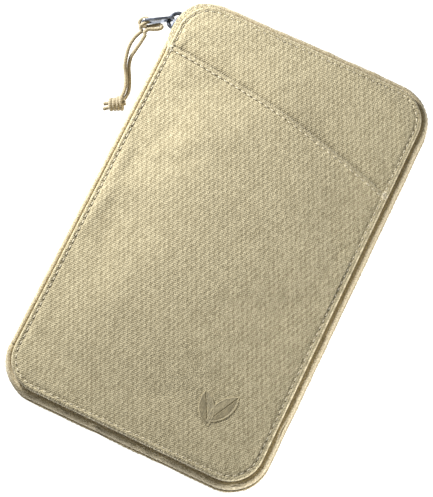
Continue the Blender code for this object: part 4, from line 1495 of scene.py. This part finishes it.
def metal_tab(name, size, width, thick, window, eye, place):
    """A flat zip tab with a window for the bail and an eye for a cord."""
    outline = round_box(size / 2, width / 2, width * 0.3, 6)
    bm = bmesh.new()
    verts = [bm.verts.new((a + size / 2 - 0.5 * MM, b, -thick / 2)) for a, b in outline]
    bm.faces.new(verts)
    made = to_object(name, bm, "steel", smooth=False)
    if made.data.polygons[0].normal.z < 0:
        made.data.flip_normals()
    solid = made.modifiers.new("Thickness", 'SOLIDIFY')
    solid.thickness = thick
    solid.offset = 1.0
    cutters = []
    start, end, half = window
    hole = round_box((end - start) / 2, half, 0.45 * MM, 4)
    cutters.append([((start + end) / 2 + a, b) for a, b in hole])
    if eye:
        centre, radius = eye
        cutters.append(arc_points(centre, 0.0, radius, 0, 345, 23))
    shapes = []
    for ring in cutters:
        bm = bmesh.new()
        low = [bm.verts.new((a, b, -thick * 2)) for a, b in ring]
        high = [bm.verts.new((a, b, thick * 2)) for a, b in ring]
        for i in range(len(ring)):
            j = (i + 1) % len(ring)
            bm.faces.new((low[i], low[j], high[j], high[i]))
        bm.faces.new(low[::-1])
        bm.faces.new(high)
        bmesh.ops.recalc_face_normals(bm, faces=bm.faces)
        cutter = to_object(name + "_cut", bm, "steel", smooth=False)
        mod = made.modifiers.new("Cut", 'BOOLEAN')
        mod.operation = 'DIFFERENCE'
        mod.object = cutter
        shapes.append(cutter)
    bevel = made.modifiers.new("Soft edges", 'BEVEL')
    bevel.width = thick * 0.22
    bevel.segments = 2
    bevel.limit_method = 'ANGLE'
    bevel.angle_limit = radians(50)
    settle(made)
    for cutter in shapes:
        bpy.data.objects.remove(cutter, do_unlink=True)
    for vert in made.data.vertices:
        vert.co = place(*vert.co)
    made.data.shade_smooth()
    made.data.set_sharp_from_angle(angle=radians(40))
    return made


# Where the slider sits round the corner, the levels of its plates from the panel's edge outward, and the
# way its tab hangs.
SLIDER_ANGLE = atan2(TAB_PIVOT.y - ARC_CENTRE.y, TAB_PIVOT.x - ARC_CENTRE.x)
PIVOT_OUT = sqrt((TAB_PIVOT.x - ARC_CENTRE.x) ** 2 + (TAB_PIVOT.y - ARC_CENTRE.y) ** 2) - CORNER
TAPE_OUT = TAPE_HIGH.x - HALF_W
SLIDER_OUT = TAPE_OUT + 2.6 * MM
SLIDER_IN = COIL_HIGH.x - HALF_W - 1.5 * MM
SLIDER_REACH = 5.0 * MM
TAB_TURN = radians(211.0)
TAB_LENGTH = 15.8 * MM


def corner_place(u, v, w):
    """Slider space to the wallet: u along the zip, v across it, w out from the panel's edge."""
    angle = SLIDER_ANGLE + u / (CORNER + SLIDER_OUT)
    r = CORNER + w
    return Vector((ARC_CENTRE.x + r * cos(angle), ARC_CENTRE.y + r * sin(angle), MID_Z + v))


def tab_place(x, y, z):
    """Tab space (along, across, through) to the wallet."""
    along = Vector((cos(TAB_TURN), sin(TAB_TURN), 0))
    through = Vector((-along.y, along.x, 0))
    return TAB_PIVOT + along * x + Vector((0, 0, y)) + through * z


def coin_place(u, v, w):
    """Coin slider space to the wallet; w points down, out of the front half."""
    low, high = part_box("coin_slider")
    return Vector(((low.x + high.x) / 2 + u, (low.y + high.y) / 2 + v, COIN_PIVOT.z - w))


def coin_tab_place(x, y, z):
    return COIN_PIVOT + Vector((x, y, -z))


class WALLET_OT_slider(bpy.types.Operator):
    """Casts both sliders with their bails and tabs."""
    bl_idname = "wallet.slider"
    bl_label = "Sliders and tabs"

    def execute(self, context):
        half = (SLIDER_HIGH.z - SLIDER_LOW.z) / 2
        outer = slider_plate(corner_place, SLIDER_REACH, TAPE_OUT + 0.3 * MM, SLIDER_OUT, half, 1)
        inner = slider_plate(corner_place, SLIDER_REACH, SLIDER_IN - 0.75 * MM, SLIDER_IN - 0.02 * MM, half,
                             1)
        web = slider_plate(corner_place, 1.9 * MM, SLIDER_IN - 0.3 * MM, SLIDER_OUT - 0.6 * MM, 0.25 * MM, 1)
        ridge = slider_plate(corner_place, SLIDER_REACH * 0.8, SLIDER_OUT - 0.5 * MM, PIVOT_OUT - 1.2 * MM,
                             half * 0.8, 1)
        body = join_pieces("zip_slider", [outer, inner, web, ridge])
        finished(body, "slider", "metal", "slider_body")
        crown = PIVOT_OUT + 1.5 * MM
        bail = slider_bail("zip_slider_bail", corner_place, SLIDER_OUT - 0.3 * MM, crown, 4.0 * MM, 1.0 * MM)
        finished(bail, "slider", "metal", "slider_bail")
        window = (0.55 * MM, 4.6 * MM, 1.0 * MM)
        tab = metal_tab("zip_pull_tab", TAB_LENGTH, 5.4 * MM, 1.3 * MM, window,
                        (TAB_LENGTH - 3.6 * MM, 1.35 * MM), tab_place)
        finished(tab, "pull_tab", "metal", "pull_tab")
        self.coin_slider()
        return {'FINISHED'}

    def coin_slider(self):
        low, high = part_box("coin_slider")
        depth = COIN_PIVOT.z - low.z
        reach, half = (high.x - low.x) / 2, (high.y - low.y) / 2
        lower = slider_plate(coin_place, reach, depth - 0.7 * MM, depth, half, -1)
        web = slider_plate(coin_place, 2.4 * MM, depth - (high.z - low.z), depth - 0.4 * MM, 0.28 * MM, -1)
        finished(join_pieces("coin_zip_slider", [lower, web]), "coin_slider", "metal", "coin_slider")
        bail = slider_bail("coin_zip_bail", coin_place, -0.5 * MM, 1.05 * MM, 2.0 * MM, 0.4 * MM)
        finished(bail, "coin_slider", "metal", "coin_slider_bail")
        tab = metal_tab("coin_zip_tab", 9.0 * MM, 3.6 * MM, 0.8 * MM, (0.4 * MM, 2.9 * MM, 0.75 * MM),
                        (7.0 * MM, 0.8 * MM), coin_tab_place)
        finished(tab, "coin_pull_tab", "metal", "coin_pull_tab")


# ------------------------------------------------------------------ pull cord
# Routes of both strands, from the tab's pivot, with heights above the table, in millimetres.
STRAND_A = (
    (-11.2, -12.4, 10.2), (-12.9, -16.8, 9.9), (-13.5, -21.6, 8.7), (-12.8, -26.2, 7.2), (-11.6, -30.4, 5.4),
    (-9.7, -33.5, 4.0), (-8.0, -37.0, 3.2), (-6.9, -41.0, 3.1), (-6.6, -44.6, 3.7),
)
STRAND_B = (
    (-8.8, -13.1, 10.0), (-9.3, -17.5, 9.2), (-10.1, -21.7, 8.1), (-10.8, -25.5, 6.3), (-9.9, -29.7, 4.2),
    (-7.9, -33.4, 2.5), (-6.3, -36.8, 1.5), (-5.2, -40.6, 1.4), (-4.9, -44.0, 2.5),
)
# The hitch on the tab, in tab space: along it, up, and across it.
HITCH = (
    (16.0, 0.2, 4.6), (16.3, 0.9, 2.6), (14.4, 1.5, 1.7), (12.5, 0.6, 0.2), (12.7, 0.2, -1.4),
    (14.6, -0.2, -1.8), (16.6, -0.7, -0.4), (15.6, -1.3, 1.6), (13.0, -1.2, 2.3), (10.0, -0.9, 2.2),
    (7.2, -0.3, 2.3), (6.0, 0.0, 3.3), (6.9, 0.3, 4.5), (9.8, 0.3, 4.6), (12.6, 0.3, 4.3),
    (14.6, 0.3, 5.6),
)


def braid_bump(turn, run):
    """Crossing ridges of the braid."""
    phase = 2 * pi * run / zip_sizes().braid_pitch
    one = cos(4 * turn + phase)
    two = cos(4 * turn - phase)
    return 0.09 * MM * max(one, two)


def cord_route(route):
    return [(TAB_PIVOT.x + x * MM, TAB_PIVOT.y + y * MM, z * MM) for x, y, z in route]


def line_length(points):
    return sum((Vector(a) - Vector(b)).length for a, b in zip(points, points[1:]))


class WALLET_OT_cord(bpy.types.Operator):
    """Braids the looped pull cord and ties its knot."""
    bl_idname = "wallet.cord"
    bl_label = "Pull cord"

    def execute(self, context):
        thick = zip_sizes().cord_diameter
        radius = thick / 2 - 0.07 * MM
        knot = self.knot((KNOT_LOW + KNOT_HIGH) / 2, radius)
        hitch = self.hitch(radius)
        for name, route, with_pieces in (("a", STRAND_A, [knot, hitch]), ("b", STRAND_B, [])):
            line = smooth_line(cord_route(route), 0.3 * MM)
            made = self.strand("cord_" + name, line, radius)
            finished(made, "pull_tab", "cord", "cord_strand_" + name)
            line_length(line)
            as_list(with_pieces)
        return {'FINISHED'}

    def hitch(self, radius):
        loop = [tab_place(x * MM, y * MM, z * MM) for x, y, z in HITCH]
        line = smooth_line([cord_route(STRAND_A)[0], *loop, cord_route(STRAND_B)[0]], 0.3 * MM)
        return finished(self.strand("cord_hitch", line, radius), "pull_tab", "cord")

    def knot(self, centre, radius):
        """A barrel knot: three turns round both strands, with two short cut ends."""
        way = Vector((-0.83, -0.56, 0.0)).normalized()
        side = Vector((way.y, -way.x, 0))
        up = Vector((0, 0, 1))
        middle = centre + Vector((0.5, 0.3, 0.1)) * MM
        turns, steps, wide = 3.4, 110, 2.35 * MM
        ring = []
        for i in range(steps + 1):
            t = i / steps
            a = 2 * pi * turns * t + 0.6
            swing = wide * (1.0 + 0.10 * sin(2.3 * a))
            lean = 0.5 * MM * sin(a)
            ring.append(middle + way * ((t - 0.5) * 5.6 * MM + lean) + side * swing * cos(a) * 1.08
                        + up * swing * sin(a) * 0.85)
        parts = [self.strand("turn", ring, radius * 1.1)]
        for across, height, reach in ((-0.95, 0.5, 6.6), (0.95, -0.4, 6.1)):
            start = middle - way * 4.3 * MM + side * across * MM * 0.7 + up * height * MM
            stop = middle + way * reach * MM + side * across * MM * 1.5 + up * (height - 0.9) * MM
            tail = smooth_line([start, (start + stop) / 2, stop], 0.3 * MM)
            parts.append(self.strand("tail", tail, radius))
        for route in (STRAND_A, STRAND_B):
            start = Vector(cord_route(route)[-1])
            halfway = (start + middle) / 2 + up * 0.3 * MM
            parts.append(self.strand("throat", smooth_line([start, halfway, middle], 0.3 * MM), radius))
        made = join_pieces("cord_tie", parts)
        made.data.shade_smooth()
        return finished(made, "pull_tab", "cord", "cord_knot")

    def strand(self, name, line, radius):
        return tube_mesh(name, line, radius, "cord", sides=20, bump=braid_bump,
                         uv_along=zip_sizes().braid_pitch)


# ------------------------------------------------------------------ inside
def inner_panel(name, node, body, hem_up, seed):
    """A lining or pocket panel in the place of its CAD solid, with soft waves and a hem."""
    low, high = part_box(node)
    radius = min(13 * MM, (high.x - low.x) / 5) if "lining" in node else 4 * MM
    outline = rounded_outline((low.x, low.y), (high.x, high.y), radius, 2.2 * MM)
    thick = max(high.z - low.z - 0.08 * MM, 0.2 * MM)

    def height(x, y, d):
        inner = min(1.0, d / (6 * MM))
        wave = 0.10 * MM * soft_noise(x, y, 45, seed) * inner
        hem = 0.12 * MM if hem_up and high.y - y < 3.0 * MM else 0.0
        return float(high.z + wave + hem - edge_drop(d, 0.2 * MM) - 0.1 * MM)

    made = cloth_panel(name, outline, height, thick, "lining", 3.2 * MM)
    if body == "front_half":
        turned_over(made, low.z + high.z)
    return finished(made, body, "lining", node)


class WALLET_OT_inside(bpy.types.Operator):
    """Sews the linings and the inside pockets, and finishes the boards, foils and stops."""
    bl_idname = "wallet.inside"
    bl_label = "Inside"

    def execute(self, context):
        PIECES["lining_back"] = inner_panel("lining_back", "back_lining", "back_half", False, 1.0)
        inner_panel("lining_front", "front_lining", "front_half", False, 2.0)
        inner_panel("passport_pocket", "passport_sleeve", "back_half", True, 3.0)
        inner_panel("coin_pocket_cloth", "coin_pocket", "front_half", True, 4.0)
        for i in range(1, 5):
            inner_panel("card_slot_%d" % i, "card_pocket_%d" % i, "back_half", True, 4.0 + i)
        self.seams()
        for node, finish in (("back_board", "board"), ("front_board", "board"), ("rfid_foil_back", "foil"),
                             ("rfid_foil_front", "foil"), ("coin_zip_tape_lower", "tape_plain"),
                             ("coin_zip_tape_upper", "tape_plain"), ("zip_stop_top", "tape_plain"),
                             ("zip_stop_back", "tape_plain"), ("zip_stop_front", "tape_plain")):
            repaint(node, FINISH[finish])
        return {'FINISHED'}

    def seams(self):
        """Stitches along the hems and down the sides of the inside pockets."""
        lines = []
        for node in ("passport_sleeve", "card_pocket_1", "card_pocket_2", "card_pocket_3", "card_pocket_4"):
            low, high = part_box(node)
            z = high.z + 0.1 * MM
            y = high.y - 1.6 * MM
            lines.append([(x, y, z) for x in np.linspace(low.x + 2 * MM, high.x - 2 * MM, 60)])
        sew("inside_stitches", lines, "back_half", scale=0.7, pitch=2.6 * MM)
        low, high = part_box("coin_pocket")
        z = low.z - 0.1 * MM
        rim = [(x, high.y - 1.6 * MM, z) for x in np.linspace(low.x + 2 * MM, high.x - 2 * MM, 60)]
        sew("coin_stitches", [rim], "front_half", scale=0.7, pitch=2.6 * MM)


def repaint(node, material):
    """Gives a flat CAD piece that is kept as it is its own finish."""
    made = frame["nodes"][node]
    if not made.material_slots:
        made.data.materials.append(material)
    for slot in made.material_slots:
        slot.link = 'OBJECT'
        slot.material = material


# ------------------------------------------------------------------ a plain mark
class WALLET_OT_mark(bpy.types.Operator):
    """Embroiders two plain leaves, tone on tone, near the lower right corner."""
    bl_idname = "wallet.mark"
    bl_label = "Mark"

    def execute(self, context):
        drop = surface_of(PIECES["pocket"])
        parts = []
        for cx, cy, reach, wide, turn in ((29.5, -75.0, 8.0, 3.4, 118.0), (36.5, -72.5, 9.0, 3.6, 62.0)):
            parts += self.leaf((cx, cy), reach, wide, radians(turn), drop)
        made = join_pieces("plain_mark", parts)
        made.data.shade_smooth()
        finished(made, "front_half", "thread")
        return {'FINISHED'}

    def leaf(self, centre, reach, wide, turn, drop):
        """A pointed leaf: its outline, and slanted satin threads on both sides of the vein."""
        way = Vector((cos(turn), sin(turn), 0))
        side = Vector((-way.y, way.x, 0))

        def spot(a, b):
            at = (Vector((centre[0], centre[1], 0)) + way * a + side * b) * MM
            return at.x, at.y, drop(at.x, at.y) + 0.1 * MM

        def half(a):
            return wide * max(0.0, 1 - (a / reach) ** 2)
        steps = [-reach + 2 * reach * i / 24 for i in range(25)]
        ring = [spot(a, half(a)) for a in steps] + [spot(a, -half(a)) for a in steps[::-1][1:]]
        threads = [tube_mesh("outline", ring, 0.3 * MM, "mark", sides=8)]
        rows = int(2 * reach / 0.6)
        for i in range(rows):
            a = -reach + 0.6 + (2 * reach - 1.2) * i / (rows - 1)
            for sign in (-1, 1):
                far = half(a)
                if far < 0.8:
                    continue
                path = [spot(a + 0.5 * b, sign * b) for b in np.linspace(0.3, far, 5)]
                threads.append(tube_mesh("satin", path, 0.28 * MM, "mark", sides=6, flat=0.8))
        return threads


# ------------------------------------------------------------------ camera, lights and floor
SENSOR_MM = 36.0
CAMERA_FROM = Vector((0.1226, -0.2151, 0.9111))
CAMERA_TO = Vector((0.0013, -0.0056, 0.02))
CAMERA_ROLL = radians(-4.66)
FOCAL_IN_LONG_SIDES = 4.0241449


def area_light(name, place, aim, size, power):
    data = bpy.data.lights.new(name, 'AREA')
    data.shape = 'DISK'
    data.size = size
    data.energy = power
    made = placed(name, data)
    made.location = place
    made.rotation_euler = (Vector(aim) - Vector(place)).to_track_quat('-Z', 'Y').to_euler()
    return made


class WALLET_OT_stage(bpy.types.Operator):
    """Sets the camera, mixes the finishes and puts in a pale floor and soft studio lights."""
    bl_idname = "wallet.stage"
    bl_label = "Camera, lights and floor"

    def execute(self, context):
        data = bpy.data.cameras.new("camera")
        data.sensor_width = SENSOR_MM
        data.lens = SENSOR_MM * FOCAL_IN_LONG_SIDES
        data.clip_end = 10.0
        camera = placed("camera", data)
        look = (CAMERA_TO - CAMERA_FROM).to_track_quat('-Z', 'Y')
        camera.matrix_world = (Matrix.Translation(CAMERA_FROM) @ look.to_matrix().to_4x4()
                               @ Matrix.Rotation(CAMERA_ROLL, 4, 'Z'))
        context.scene.camera = camera
        make_finishes()
        FINISH["tape_plain"] = plain_finish("woven_tape", tuple(colours().tape), 0.8, grain=2500.0)
        bm = bmesh.new()
        bmesh.ops.create_circle(bm, cap_ends=True, segments=64, radius=3.0)
        floor = to_object("floor", bm, "floor")
        for vert in floor.data.vertices:
            vert.co.z = -0.2 * MM
        area_light("key", (-0.38, 0.17, 0.20), (0.0, 0.0, 0.0), 0.10, 4.7)
        area_light("rim", (0.5, -0.16, 0.04), (0.05, -0.05, 0.008), 0.12, 3.9)
        world = context.scene.world or bpy.data.worlds.new("world")
        context.scene.world = world
        world.use_nodes = True
        back = world.node_tree.nodes["Background"]
        back.inputs[0].default_value = (1.0, 1.0, 1.0, 1.0)
        back.inputs[1].default_value = 0.2
        context.scene.view_settings.view_transform = 'Standard'
        return {'FINISHED'}


class WALLET_OT_ease(bpy.types.Operator):
    """Eases all the sewn pieces a little, so no edge is ruler straight."""
    bl_idname = "wallet.ease"
    bl_label = "Ease the seams"

    def execute(self, context):
        for made in FABRIC:
            for vert in made.data.vertices:
                dx, dy = bow(vert.co.x, vert.co.y)
                vert.co.x += dx
                vert.co.y += dy
        return {'FINISHED'}


class WALLET_PT_sidebar(bpy.types.Panel):
    """Lists the wallet's sizes, colours and makers."""
    bl_idname = "WALLET_PT_sidebar"
    bl_label = "Travel wallet"
    bl_space_type = 'VIEW_3D'
    bl_region_type = 'UI'
    bl_category = "Wallet"

    def draw(self, context):
        column = self.layout.column()
        for group in (context.scene.wallet_cloth, context.scene.wallet_zip, context.scene.wallet_colours):
            for name in group.bl_rna.properties.keys():
                if name not in ("rna_type", "name"):
                    column.prop(group, name)
        for operator in OPERATORS:
            column.operator(operator.bl_idname)


OPERATORS = (WALLET_OT_stage, WALLET_OT_cord, WALLET_OT_panels, WALLET_OT_walls, WALLET_OT_zip,
             WALLET_OT_slider, WALLET_OT_stitches, WALLET_OT_inside, WALLET_OT_mark, WALLET_OT_ease)
GROUP_TYPES = (("wallet_cloth", WalletCloth), ("wallet_zip", WalletZip), ("wallet_colours", WalletColours))


def register():
    for name, group in GROUP_TYPES:
        bpy.utils.register_class(group)
        setattr(bpy.types.Scene, name, PointerProperty(type=group))
    for operator in OPERATORS:
        bpy.utils.register_class(operator)
    bpy.utils.register_class(WALLET_PT_sidebar)


def unregister():
    bpy.utils.unregister_class(WALLET_PT_sidebar)
    for operator in reversed(OPERATORS):
        bpy.utils.unregister_class(operator)
    for name, group in reversed(GROUP_TYPES):
        delattr(bpy.types.Scene, name)
        bpy.utils.unregister_class(group)


def main():
    register()
    bpy.ops.wallet.stage()
    bpy.ops.wallet.cord()
    bpy.ops.wallet.panels()
    bpy.ops.wallet.walls()
    bpy.ops.wallet.zip()
    bpy.ops.wallet.slider()
    bpy.ops.wallet.stitches()
    bpy.ops.wallet.inside()
    bpy.ops.wallet.mark()
    bpy.ops.wallet.ease()


if __name__ == "__main__":
    main()
